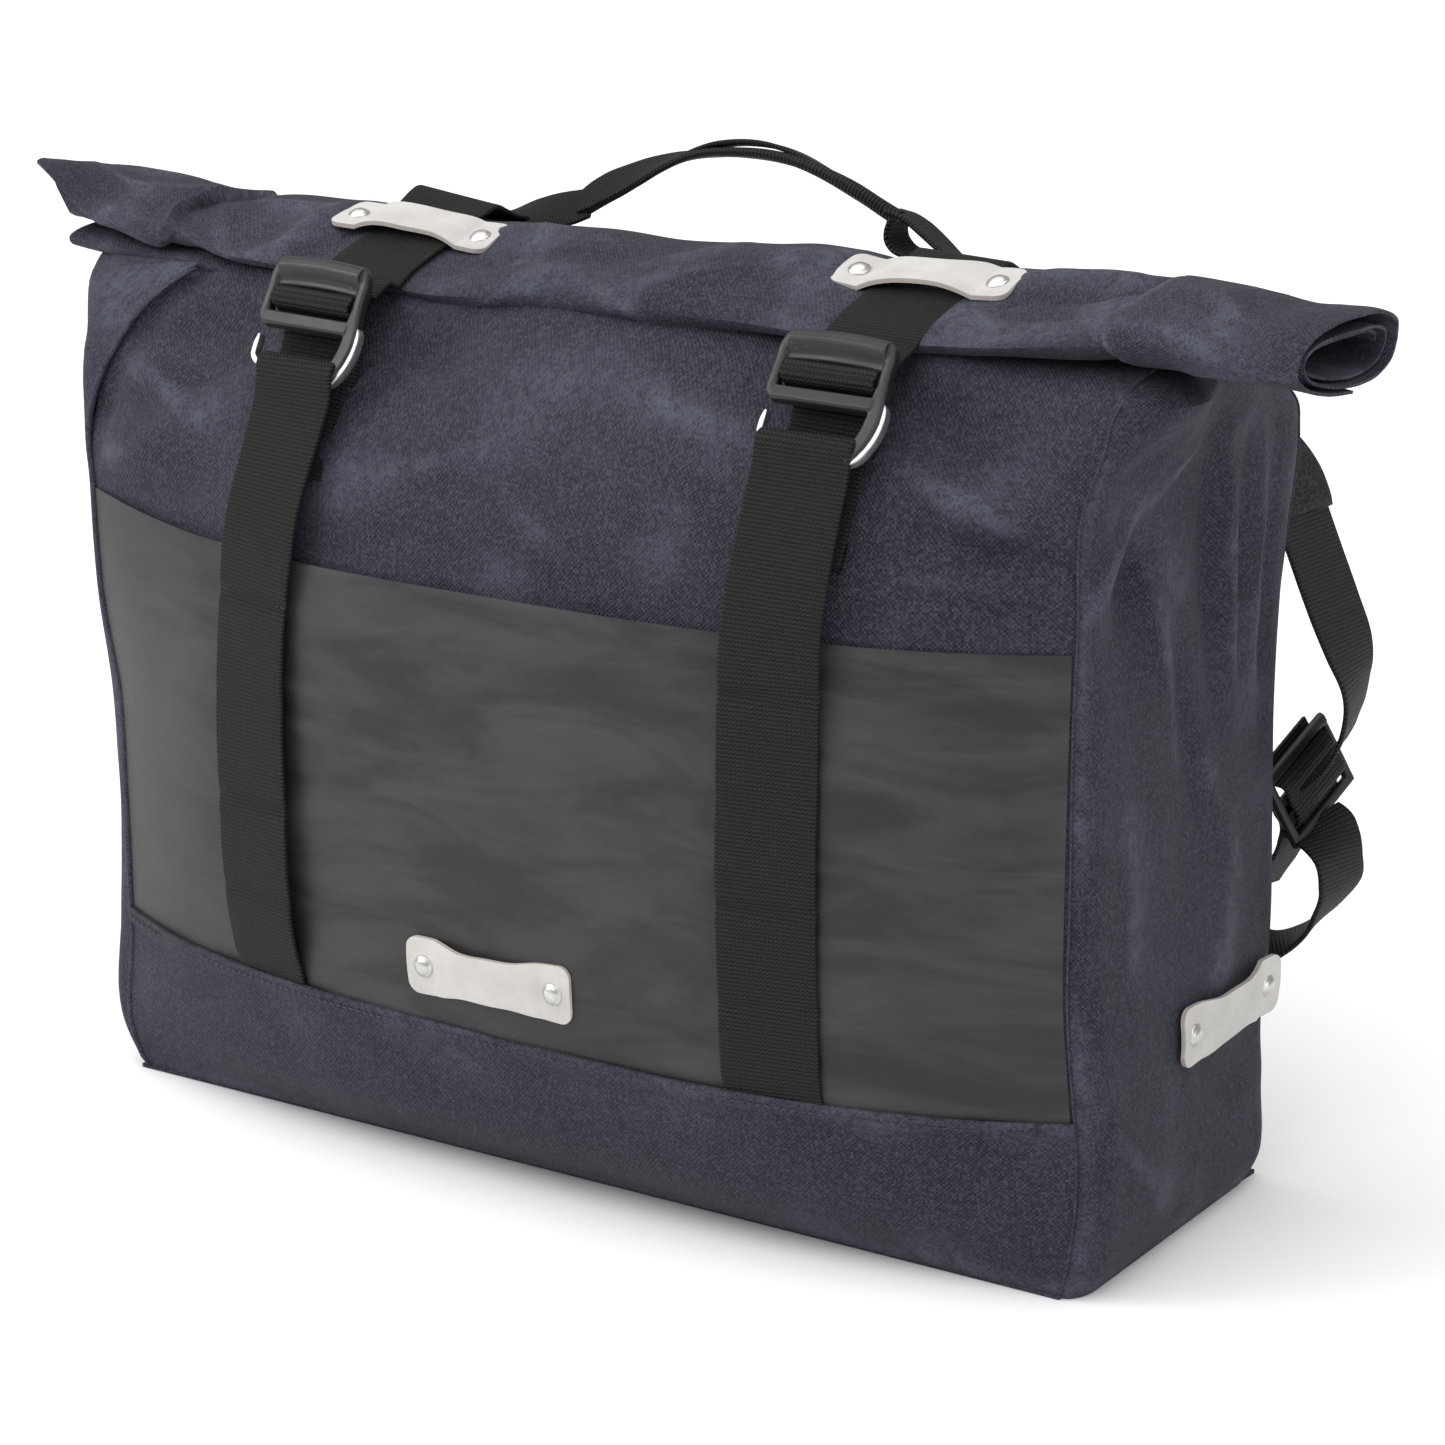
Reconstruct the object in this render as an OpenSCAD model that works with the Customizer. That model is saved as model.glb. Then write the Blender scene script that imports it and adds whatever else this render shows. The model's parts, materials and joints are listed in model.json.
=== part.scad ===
// Roll-top messenger bag with a rubber front pocket, webbing closure straps and shoulder straps.
// The origin is the middle of the base on the ground. +X is the bag's right, +Y its back, +Z up.

/* [Body] */
// Width of the body across the front, seam to seam
body_w = 420; // [400:5:440]
// Depth of the body between its front and back corner seams
body_d = 146; // [140:1:152]
// Height of the base strip, up to the pocket's lower seam
base_h = 65; // [55:1:75]
// Height of the pocket's mouth at the side seams
pocket_h = 234; // [225:1:240]
// How far the front swells forward of its corner seams at mid height
front_bulge = 46; // [40:1:50]
// How far the pocket stands off the panel behind it at its middle
pocket_gap = 9; // [6:0.5:12]
// Thickness of the canvas panels
canvas_t = 2.4; // [1.6:0.2:2.4]

/* [Roll top] */
// Height of the roof that the roll lies on
roof_z = 316; // [314:1:318]
// Length of the rolled top from tip to tip
roll_l = 548; // [536:2:560]
// Half of the roll's depth from front to back
roll_half_d = 33; // [30:1:34]

/* [Straps] */
// Width of every webbing
web_w = 38; // [34:1:40]
// Thickness of one webbing layer
web_t = 2.2; // [1.6:0.2:2.2]
// Distance of each closure strap's middle from the bag's middle
strap_x = 113.5; // [100:0.5:125]
// How far a closure buckle leans back from upright, in degrees
buckle_lean = 27; // [24:1:32]

/* [Leather loops] */
// Length of a leather loop
loop_l = 72; // [66:1:78]
// Width of a leather loop
loop_w = 22; // [18:1:24]
// Distance between a leather loop's two rivets
rivet_pitch = 57; // [54:0.5:60]
// Diameter of a rivet's cap
rivet_d = 9; // [7:0.5:10]

/* [Hidden] */
$fn = 48;

NAVY = "#2b2d42";
BLACK = "#1b1b1c";
RUBBER = "#3c3b3c";
LEATHER = "#d9d5cd";
STEEL = "#c9c9c8";

LEFT = -1;
RIGHT = 1;
half_w = body_w / 2;
half_d = body_d / 2;
layer_gap = 0.3;
corner_fall = 3.1; // exponent of the front's flat middle and steep sides

// Each profile gives, against height, how far a line of the body departs from a plain box.
lean_in = [[0, 0], [252, 0], [270, 5], [285, 9], [300, 14], [roof_z, 22]];
swell = [[0, 0], [8, 0.2], [20, 0.52], [35, 0.74], [base_h, 0.9], [110, 0.98], [160, 1], [200, 0.96],
    [pocket_h, 0.87], [252, 0.72], [270, 0.5], [285, 0.3], [300, 0.12], [roof_z, 0]];
back_out = [[0, 0], [60, 2], [160, 4], [250, 3], [278, 1], [290, -5], [300, -16], [308, -30], [roof_z, -53]];
ear_out = [[0, 0], [235, 1.5], [262, 7], [280, 16], [292, 28], [304, 46], [roof_z, 68]];
gap_rise = [[base_h, 0], [95, 0.7], [140, 1], [pocket_h, 1], [255, 0.5], [285, 0.1], [roof_z, 0]];

// The body's outer surfaces
function side_fall(x) = 1 - pow(abs(x) / half_w, corner_fall);
function corner_y(z) = -half_d + lookup(z, lean_in);
function front_y(x, z) = corner_y(z) - front_bulge * lookup(z, swell) * side_fall(x);
function back_y(z) = half_d + lookup(z, back_out);
function standoff(x, z) = canvas_t + layer_gap + pocket_gap * lookup(z, gap_rise) * side_fall(x);

// Vectors and grids
function unit(v) = v / norm(v);
function mix(a, b, s) = a + (b - a) * s;
function steps(low, high, count) = [for (i = [0:count]) mix(low, high, i / count)];
function shifted(grid, offset) = [for (row = grid) [for (p = row) p + offset]];
function split(a, b, c, d) = [[a, b, c], [a, c, d]];

// A closed sheet between two grids of points. Seen from the face side, a grid's rows
// run up and its columns run to the right.
module sheet(face, back) {
    rows = len(face);
    cols = len(face[0]);
    count = rows * cols;
    function at(layer, r, c) = layer * count + r * cols + c;
    function edge(a, b) = split(a, b, b + count, a + count);
    polyhedron(
        points = concat([for (row = face) each row], [for (row = back) each row]),
        faces = concat(
            [for (r = [0:rows - 2], c = [0:cols - 2])
                each split(at(0, r, c), at(0, r + 1, c), at(0, r + 1, c + 1), at(0, r, c + 1))],
            [for (r = [0:rows - 2], c = [0:cols - 2])
                each split(at(1, r, c), at(1, r, c + 1), at(1, r + 1, c + 1), at(1, r + 1, c))],
            [for (c = [0:cols - 2]) each edge(at(0, 0, c), at(0, 0, c + 1))],
            [for (c = [0:cols - 2]) each edge(at(0, rows - 1, c + 1), at(0, rows - 1, c))],
            [for (r = [0:rows - 2]) each edge(at(0, r + 1, 0), at(0, r, 0))],
            [for (r = [0:rows - 2]) each edge(at(0, r, cols - 1), at(0, r + 1, cols - 1))]
        ),
        convexity = 6
    );
}

// A flat band along a path. Each across vector is the direction of the band's width.
module band(path, across, widths, thickness) {
    last = len(path) - 1;
    function tangent(i) = unit(path[min(i + 1, last)] - path[max(i - 1, 0)]);
    function normal(i) = unit(cross(across[i], tangent(i)));
    function row(i, side) = [
        for (s = [-0.5, 0.5]) path[i] + s * widths[i] * unit(across[i]) + side * normal(i) * thickness / 2
    ];
    sheet([for (i = [0:last]) row(i, 1)], [for (i = [0:last]) row(i, -1)]);
}

module straight_band(path, across, width, thickness) {
    band(path, [for (p = path) across], [for (p = path) width], thickness);
}

// Points of a path at a fixed x, from its [y, z] pairs
function upright(pairs) = [for (p = pairs) [0, p[0], p[1]]];
function arc(centre, r, from, to, count) =
    [for (a = steps(from, to, count)) centre + r * [cos(a), sin(a)]];
function mirrored(side, path) = [for (p = path) [side * p[0], p[1], p[2]]];

module at_strap(side) {
    translate([side * strap_x, 0, 0]) children();
}

// ---- Body panels ----

body_rows = 15;
body_cols = 16;

module front_panel() {
    zs = steps(base_h + 1, roof_z, body_rows);
    xs = steps(-half_w, half_w, body_cols);
    face = [for (z = zs) [for (x = xs) [x, front_y(x, z) + standoff(x, z), z]]];
    color(NAVY) sheet(face, shifted(face, [0, canvas_t, 0]));
}

mouth_sag = 5;

module front_pocket() {
    xs = steps(-half_w, half_w, body_cols);
    face = [
        for (s = steps(0, 1, 10)) [
            for (x = xs)
                let (z = mix(base_h + layer_gap, pocket_h - mouth_sag * side_fall(x), s))
                [x, front_y(x, z), z]
        ]
    ];
    color(RUBBER) sheet(face, shifted(face, [0, canvas_t, 0]));
}

module front_base_strip() {
    zs = [0, 8, 20, 35, 50, base_h];
    xs = steps(-half_w, half_w, body_cols);
    face = [for (z = zs) [for (x = xs) [x, front_y(x, z), z]]];
    color(NAVY) sheet(face, shifted(face, [0, canvas_t, 0]));
}

module back_panel() {
    zs = [canvas_t + layer_gap, 30, 60, 110, 160, 205, 250, 265, 278, 284, 290, 295, 300, 304, 308, 312, roof_z];
    xs = steps(-half_w, half_w, 6);
    outer = [for (z = zs) [for (x = xs) [x, back_y(z), z]]];
    inner = [for (row = outer) [for (p = row) p - [0, canvas_t, roof_slope(p[2]) * canvas_t]]];
    color(NAVY) sheet(inner, outer);
}
// The roof's cloth is thickened downwards as it turns from upright to lying
function roof_slope(z) = lookup(z, [[278, 0], [300, 0.8], [roof_z, 1]]);

module gusset(side) {
    zs = [canvas_t + layer_gap, 40, 90, 150, 200, 235, 262, 271, 280, 286, 292, 298, 304, 310, roof_z - 1];
    front_gap = 2 * canvas_t + 3 * layer_gap;
    back_gap = canvas_t * 1.4 + layer_gap;
    roof_gap = 13; // the lying roof is deeper along Y than the upright back
    face = [
        for (z = zs) [
            for (s = steps(-1, 1, 8))
                let (back_edge = back_y(z) - mix(back_gap, roof_gap, roof_slope(z)))
                let (y = mix(corner_y(z) + front_gap, back_edge, (s + 1) / 2))
                let (x = half_w - canvas_t + lookup(z, ear_out) * (1 - abs(s)))
                [side * x, y, z]
        ]
    ];
    thick = shifted(face, [side * canvas_t, 0, 0]);
    color(NAVY)
        if (side == RIGHT) sheet(thick, face);
        else sheet(face, thick);
}

module bottom_panel() {
    inset = canvas_t + layer_gap;
    color(NAVY)
        translate([-half_w, -half_d + inset, 0])
            cube([body_w, body_d - 2 * inset, canvas_t]);
}

board_t = 2;
module base_board() {
    board_w = body_w - 12;
    board_d = body_d - 12;
    color(BLACK)
        translate([-board_w / 2, -board_d / 2, canvas_t + layer_gap])
            cube([board_w, board_d, board_t]);
}

foam_t = 4;
module back_foam() {
    foam_w = body_w - 24;
    foam_z = canvas_t + layer_gap + board_t + 1;
    foam_top = 262;
    color(BLACK)
        translate([-foam_w / 2, half_d - canvas_t - layer_gap - foam_t, foam_z])
            cube([foam_w, foam_t, foam_top - foam_z]);
}

// ---- Roll top ----

roll_y = -14;
roll_lift = 0.8;
roll_squareness = 2.5;
roll_pinch = 10.8;
// Half of the roll's height along its length: pinched under the straps, fuller between them
roll_half_h = [[0, 14], [50, 13.6], [74, roll_pinch], [153, roll_pinch], [180, 13.6], [215, 15], [250, 13.5],
    [roll_l / 2, 8]];
roll_droop = [[0, 0], [210, 0], [roll_l / 2, 4]];
roll_z = roof_z + roll_lift + roll_pinch;

function superellipse(a, b, n, angle) = [
    a * sign(cos(angle)) * pow(abs(cos(angle)), 2 / n),
    b * sign(sin(angle)) * pow(abs(sin(angle)), 2 / n)
];

module roll_top() {
    ring_n = 20;
    half_xs = [0, 30, 50, 74, 113, 153, 180, 215, 235, 250, 264, roll_l / 2];
    xs = concat([for (i = [len(half_xs) - 1:-1:1]) -half_xs[i]], half_xs);
    points = [
        for (x = xs)
            let (b = lookup(abs(x), roll_half_h))
            let (a = roll_half_d - lookup(abs(x), [[250, 0], [roll_l / 2, 7]]))
            for (i = [0:ring_n - 1])
                let (p = superellipse(a, b, roll_squareness, 360 * i / ring_n))
                [x, roll_y + p[0], roll_z + max(p[1], -roll_pinch) + lookup(abs(x), roll_droop)]
    ];
    function at(r, i) = r * ring_n + i % ring_n;
    color(NAVY) polyhedron(
        points = points,
        faces = concat(
            [for (r = [0:len(xs) - 2], i = [0:ring_n - 1])
                each split(at(r + 1, i), at(r + 1, i + 1), at(r, i + 1), at(r, i))],
            [[for (i = [0:ring_n - 1]) i]],
            [[for (i = [ring_n - 1:-1:0]) at(len(xs) - 1, i)]]
        ),
        convexity = 4
    );
}

// ---- Closure straps ----

hook_y = -88;
hook_z = 295;
bar_r = 2.2;
loop_r = bar_r + 0.5 + web_t / 2;
seam_yaw = 9.5; // the strap's lower end is turned to lie on the front's curve

// The outer face of a closure strap over the pocket, then its straight run up to the hook
pocket_run = [for (z = [base_h - 1, 90, 115, 140, 170, 200, 232])
    [front_y(strap_x, z) - 1.2 - web_t / 2 - abs(sin(seam_yaw)) * 2, z]];
free_run = [[-104.5, 252], [-99.5, 268], [hook_y - loop_r - 1, hook_z - 10]];
back_run = [[hook_y + loop_r - 2.6, hook_z - 10], [-99.5 + web_t + layer_gap + 0.4, 268], [-101, 263]];

module front_strap(side) {
    crown = arc([hook_y, hook_z], loop_r, 180, 0, 8);
    pairs = concat(pocket_run, free_run, crown, back_run);
    path = upright(pairs);
    yaws = [for (p = pairs) seam_yaw * (1 - lookup(p[1], [[200, 0], [285, 1]]))];
    across = [for (a = yaws) [cos(a), side * sin(a), 0]];
    color(BLACK) at_strap(side) band(path, across, [for (p = path) web_w], web_t);
}

// The top strap's path in y and z: up the back, over the roll and down to the buckle
roof_run = [[half_d + 5.6, 283], [half_d + 1, 292], [57, 311], [42, 328]];
roll_run = [[30, 339.2], [18, 342.3], [-10, 342.3], [-26, 341.4], [-38, 338.8], [-46, 334.8], [-51, 328.5],
    [-58, 323.6], [-62, 322.4]];

module top_strap(side) {
    color(BLACK) at_strap(side)
        straight_band(upright(concat(roof_run, roll_run)), [-1, 0, 0], web_w, web_t);
}

// The top strap's tail hangs behind the front strap
tail_run = [[-73.5, 306], [-77, 296], [-82, 284], [-86.5, 274], [-92.5, 262], [-97, 251], [-99.5, 244]];
module strap_tail(side) {
    color(BLACK) at_strap(side) straight_band(upright(tail_run), [-1, 0, 0], web_w - 1, web_t - 0.4);
}

// ---- Closure buckles: drawn in the buckle's own plane, x across and y up the strap ----

frame_w = 46;
frame_t = 3.6;
frame_low = 15.5;
frame_high = 40;
bar_low = 24.5;
bar_high = 29.8;
slot_w = web_w + 1;

module at_buckle(side) {
    translate([side * strap_x, hook_y, hook_z])
        rotate([90 - buckle_lean, 0, 0])
            children();
}

module slot(low, high) {
    translate([-slot_w / 2, low]) square([slot_w, high - low]);
}

module buckle_frame(side) {
    lip_low = 35.6;
    flat_bar_high = 19.6;
    arm_x = web_w / 2 + 0.6;
    color(BLACK) at_buckle(side) {
        difference() {
            translate([0, 0, -frame_t / 2]) linear_extrude(frame_t)
                difference() {
                    union() {
                        translate([-frame_w / 2, frame_low]) square([frame_w, frame_high - frame_low]);
                        translate([arm_x, 3.2]) square([frame_w / 2 - arm_x, frame_low]);
                    }
                    slot(flat_bar_high, bar_low);
                    slot(bar_high, lip_low);
                }
            // The frame's upper corners are cut at a slant
            for (s = [-1, 1])
                translate([s * frame_w / 2, frame_high, 0]) rotate([0, 0, 45])
                    cube([5, 5, frame_t + 1], center = true);
        }
        // The lip is thicker than the frame and curls forward
        lip_r = 2.6;
        translate([-slot_w / 2, lip_low + 2.2, 1.2]) rotate([0, 90, 0]) cylinder(h = slot_w, r = lip_r);
    }
}

module buckle_hook(side) {
    leg_x = frame_w / 2 + layer_gap;
    leg_w = 1.8;
    tip_x = -web_w / 2 - 0.9;
    tip_h = 9;
    foot_h = 2 * bar_r;
    color(STEEL) at_buckle(side) {
        translate([tip_x - leg_w, 0, 0]) rotate([0, 90, 0])
            cylinder(h = leg_x + leg_w - (tip_x - leg_w), r = bar_r);
        translate([tip_x - leg_w / 2, 0, 0]) rotate([-90, 0, 0]) cylinder(h = tip_h, r = leg_w / 2 + 0.2);
        translate([tip_x - leg_w / 2, tip_h, 0]) sphere(r = leg_w / 2 + 0.2);
        translate([leg_x, -bar_r, -bar_r]) cube([leg_w, frame_low + 2, foot_h]);
    }
}

// The webbing's turn round the buckle's middle bar, in the buckle's own plane
module strap_wrap(side) {
    wrap_t = 1.8;
    clear = 0.4 + wrap_t / 2;
    half_t = frame_t / 2;
    corner = 0.8 * clear;
    turn = [
        [bar_high + 3.4, -half_t - 4.4],
        [bar_high + clear + 0.4, -half_t],
        [bar_high + clear, half_t - 0.2],
        [bar_high + corner, half_t + corner],
        [bar_high - 0.6, half_t + clear],
        [bar_low + 0.6, half_t + clear],
        [bar_low - corner, half_t + corner],
        [bar_low - clear, half_t - 0.2],
        [bar_low - clear - 0.4, -half_t],
        [bar_low - 3.4, -half_t - 4.4]
    ];
    path = [for (p = turn) [0, p[0], p[1]]];
    color(BLACK) at_buckle(side) straight_band(path, [-1, 0, 0], web_w, wrap_t);
}

// ---- Leather loops and rivets: drawn flat, x along the loop and z out of the surface ----

leather_t = 1.8;
post_d = 3;

// A leather strip that lies flat under its rivets and arches by rise between them
module leather_loop(rise, squareness) {
    flat_end = rivet_pitch / 2 - rivet_d / 2 - 0.5;
    arch = [for (s = steps(-1, 1, 10)) [s * flat_end, 0, leather_t / 2 + rise * (1 - pow(abs(s), squareness))]];
    ends_x = loop_l / 2;
    path = concat([[-ends_x, 0, leather_t / 2]], arch, [[ends_x, 0, leather_t / 2]]);
    waist = [for (p = path) loop_w - 4 * max(0, 1 - pow(p[0] / (flat_end + 4), 2))];
    difference() {
        band(path, [for (p = path) [0, -1, 0]], waist, leather_t);
        for (s = [-1, 1]) translate([s * rivet_pitch / 2, 0, -1]) cylinder(h = leather_t + 2, d = post_d + 0.2);
    }
}

module rivet_pair() {
    cap_h = 1.8;
    cap_r = rivet_d / 2;
    dome_r = (cap_r * cap_r + cap_h * cap_h) / (2 * cap_h);
    for (s = [-1, 1])
        translate([s * rivet_pitch / 2, 0, leather_t + 0.1])
            rotate_extrude() {
                intersection() {
                    translate([0, cap_h - dome_r]) circle(r = dome_r, $fn = 96);
                    square([cap_r, cap_h]);
                }
                translate([0, -leather_t - 0.1]) square([post_d / 2, leather_t + 0.2]);
            }
}

keeper_y = -8;
keeper_z = roll_z + roll_pinch + 0.6;
keeper_rise = web_t + 3.8;
keeper_squareness = 8; // its arch clears the strap's full width
light_rise = 3.2;
light_squareness = 3;
module at_keeper(side) {
    translate([side * strap_x, keeper_y, keeper_z]) children();
}

front_loop_at = [-3, 0, base_h + 25];
module at_front_loop() {
    lean = 4.5; // the pocket swells upward here
    translate([front_loop_at[0], front_y(0, front_loop_at[2]) - 0.5, front_loop_at[2]])
        rotate([90 + lean, 0, 0])
            children();
}

side_loop_at = [half_w + 0.7, 41, 74];
module at_side_loop() {
    translate(side_loop_at) rotate([90, 0, 90]) children();
}

// ---- Handle ----

handle_y = 38;
handle_z = 344;
handle_half = 70;

module handle() {
    apex = 25.5;
    roundness = 2.2;
    fullness = 0.62;
    grip_w = web_w / 2;
    pinch_w = 12;
    stations = steps(-1, 1, 20);
    path = [
        for (s = stations)
            [s * handle_half, handle_y, handle_z + apex * pow(1 - pow(abs(s), roundness), fullness)]
    ];
    widths = [for (s = stations) mix(grip_w, pinch_w, pow(abs(s), 8))];
    color(BLACK) band(path, [for (p = path) [0, 1, 0]], widths, 2 * web_t);
}

// The handle's flat end turns to lie under a top strap, where that slopes down the back
module handle_tab(side) {
    tab_y = 35;
    tab_z = 331.3;
    path = [
        [handle_half + 3.4, handle_y, handle_z - 0.8],
        [handle_half + 9, handle_y - 0.8, handle_z - 4.5],
        [handle_half + 17, tab_y + 1.2, tab_z + 3.4],
        [handle_half + 25, tab_y, tab_z],
        [strap_x + web_w / 2 + 3, tab_y, tab_z]
    ];
    lying = [0, 0.731, -0.682];
    across = [[0, 1, 0], [0, 0.98, -0.2], [0, 0.86, -0.5], lying, lying];
    widths = [12, 14, 16, 16, 16];
    color(BLACK) band(mirrored(side, path), across, widths, web_t - 0.6);
}

// ---- Shoulder straps: drawn for the right side and mirrored for the left ----

pad_path = [[113, 85, 262], [128, 90, 266], [145, 95, 268], [162, 99, 267], [179, 101, 263], [194, 101, 256],
    [205, 100, 246]];
pad_across = [[0, 0.02, 1], [0.03, 0.12, 1], [0.1, 0.34, 0.94], [0.2, 0.62, 0.75], [0.22, 0.83, 0.5],
    [0.12, 0.96, 0.25], [0, 1, 0.05]];
pad_widths = [40, 46, 48, 48, 46, 44, 42];
pad_t = 5;
upper_web_path = [[206, 100, 243], [211, 99.5, 231], [218, 99, 216], [225, 98, 200], [229, 98, 185],
    [229, 98, 171]];
lower_web_path = [[224, 98, 139], [227, 98, 125], [226, 97, 111], [220, 94, 100], [212, 89.5, 92],
    [204, 85, 88]];
lower_web_across = [[0, 1, 0], [0, 1, 0], [0.05, 0.97, 0.2], [0.18, 0.85, 0.5], [0.22, 0.6, 0.77],
    [0.18, 0.35, 0.92]];
adjuster_at = [227, 98, 155];
upper_anchor_at = [98, half_d + 6.4, 262];
lower_anchor_at = [188, half_d + 5.4, 86];

module shoulder_pad(side) {
    color(RUBBER) band(mirrored(side, pad_path), mirrored(side, pad_across), pad_widths, pad_t);
}

module shoulder_webbing(side) {
    color(BLACK) straight_band(mirrored(side, upper_web_path), [0, 1, 0], web_w, web_t);
}

module lower_webbing(side) {
    widths = [for (p = lower_web_path) web_w];
    color(BLACK) band(mirrored(side, lower_web_path), mirrored(side, lower_web_across), widths, web_t);
}

// A ladder buckle that joins the two webbings
module strap_adjuster(side) {
    plate_w = web_w + 8;
    plate_h = 30;
    plate_t = 4;
    plate_lean = 4;
    window_h = 5;
    window_pitch = 8;
    color(BLACK)
        translate([side * adjuster_at[0], adjuster_at[1], adjuster_at[2]])
            rotate([0, side * plate_lean, 0])
                rotate([90, 0, 90])
                    linear_extrude(plate_t, center = true)
                        difference() {
                            square([plate_w, plate_h], center = true);
                            for (row = [-1:1])
                                translate([0, row * window_pitch]) square([web_w + 1, window_h], center = true);
                        }
}

// A webbing patch sewn flat to the back panel, which holds one end of a shoulder strap
module anchor(side, at) {
    patch_w = 24;
    patch_t = 3;
    color(BLACK)
        translate([side * at[0], at[1], at[2]])
            cube([patch_w, patch_t, web_w], center = true);
}

front_panel();
front_pocket();
front_base_strip();
gusset(LEFT);  // left_gusset
gusset(RIGHT);  // right_gusset
back_panel();
bottom_panel();
roll_top();
base_board();
back_foam();
front_strap(LEFT);  // left_front_strap
front_strap(RIGHT);  // right_front_strap
top_strap(LEFT);  // left_top_strap
top_strap(RIGHT);  // right_top_strap
strap_wrap(LEFT);  // left_strap_wrap
strap_wrap(RIGHT);  // right_strap_wrap
strap_tail(LEFT);  // left_strap_tail
strap_tail(RIGHT);  // right_strap_tail
buckle_frame(LEFT);  // left_buckle_frame
buckle_frame(RIGHT);  // right_buckle_frame
buckle_hook(LEFT);  // left_buckle_hook
buckle_hook(RIGHT);  // right_buckle_hook
color(LEATHER) at_keeper(LEFT) leather_loop(keeper_rise, keeper_squareness);  // left_strap_keeper
color(LEATHER) at_keeper(RIGHT) leather_loop(keeper_rise, keeper_squareness);  // right_strap_keeper
color(STEEL) at_keeper(LEFT) rivet_pair();  // left_keeper_rivets
color(STEEL) at_keeper(RIGHT) rivet_pair();  // right_keeper_rivets
color(LEATHER) at_front_loop() leather_loop(light_rise, light_squareness);  // front_light_loop
color(STEEL) at_front_loop() rivet_pair();  // front_loop_rivets
color(LEATHER) at_side_loop() leather_loop(light_rise, light_squareness);  // side_light_loop
color(STEEL) at_side_loop() rivet_pair();  // side_loop_rivets
handle();
handle_tab(LEFT);  // left_handle_tab
handle_tab(RIGHT);  // right_handle_tab
shoulder_pad(LEFT);  // left_shoulder_pad
shoulder_pad(RIGHT);  // right_shoulder_pad
shoulder_webbing(LEFT);  // left_shoulder_webbing
shoulder_webbing(RIGHT);  // right_shoulder_webbing
strap_adjuster(LEFT);  // left_strap_adjuster
strap_adjuster(RIGHT);  // right_strap_adjuster
lower_webbing(LEFT);  // left_lower_webbing
lower_webbing(RIGHT);  // right_lower_webbing
anchor(LEFT, upper_anchor_at);  // left_upper_anchor
anchor(RIGHT, upper_anchor_at);  // right_upper_anchor
anchor(LEFT, lower_anchor_at);  // left_lower_anchor
anchor(RIGHT, lower_anchor_at);  // right_lower_anchor
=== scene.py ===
"""The looks of the roll-top messenger bag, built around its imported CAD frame.

Shapes are worked out in millimetres in the part's frame (+X the bag's right, +Y its back, +Z up)
and turned into metres when a mesh is made. Every cloth mesh carries a "flat" attribute, its place
on the flat cloth in metres, so the weaves follow the cloth, and a "wear" attribute for rubbed wax.
"""
import json
import math

import bpy
import numpy as np
from mathutils import Matrix, Vector


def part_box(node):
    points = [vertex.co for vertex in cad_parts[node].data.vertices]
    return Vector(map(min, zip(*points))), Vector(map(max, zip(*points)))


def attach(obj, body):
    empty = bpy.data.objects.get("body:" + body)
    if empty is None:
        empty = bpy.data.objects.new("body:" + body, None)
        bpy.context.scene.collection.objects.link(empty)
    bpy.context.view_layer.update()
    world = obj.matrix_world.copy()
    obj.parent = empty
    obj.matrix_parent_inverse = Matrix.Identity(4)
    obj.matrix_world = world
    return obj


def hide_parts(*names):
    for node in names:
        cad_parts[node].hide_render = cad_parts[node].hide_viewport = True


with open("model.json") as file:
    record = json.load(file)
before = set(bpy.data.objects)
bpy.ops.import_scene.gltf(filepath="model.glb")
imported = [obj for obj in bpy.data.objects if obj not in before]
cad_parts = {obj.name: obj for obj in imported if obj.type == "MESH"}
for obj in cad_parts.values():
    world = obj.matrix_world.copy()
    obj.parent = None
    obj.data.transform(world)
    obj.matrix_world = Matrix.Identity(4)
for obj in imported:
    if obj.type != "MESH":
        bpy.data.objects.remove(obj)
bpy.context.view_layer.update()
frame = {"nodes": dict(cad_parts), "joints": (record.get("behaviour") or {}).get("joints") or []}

MM = 0.001
BAG = "bag"
NAME = {-1: "left", 1: "right"}


# ---- Measures taken from the frame, in millimetres ----

def cad_box(node):
    """Lowest and highest corner of a CAD node, in millimetres."""
    low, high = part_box(node)
    return np.array(low) / MM, np.array(high) / MM


def joint_place(name):
    """A joint's pivot, in millimetres."""
    joint = next(j for j in frame["joints"] if j["name"] == name)
    return np.array(joint["pos_m"], float) / MM


roll_low, roll_high = cad_box("roll_top")
strap_low, strap_high = cad_box("right_top_strap")

HALF_W, _, SEAM_Z = cad_box("front_base_strip")[1]
MOUTH_Z = cad_box("front_pocket")[1][2]
# The corner seams' places from front to back
FRONT, BACK = -73.0, 73.0
STRAP_X = (strap_low[0] + strap_high[0]) / 2
WEB_W = strap_high[0] - strap_low[0]
# Thickness of the webbings as they show
WEB_T = 1.9
ROLL_Y = (roll_low[1] + roll_high[1]) / 2
ROLL_HALF_D = (roll_high[1] - roll_low[1]) / 2
HOOK = joint_place("right_buckle_tilt")
HANDLE = joint_place("handle_swing")


# ---- Curves and noise ----

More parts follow.
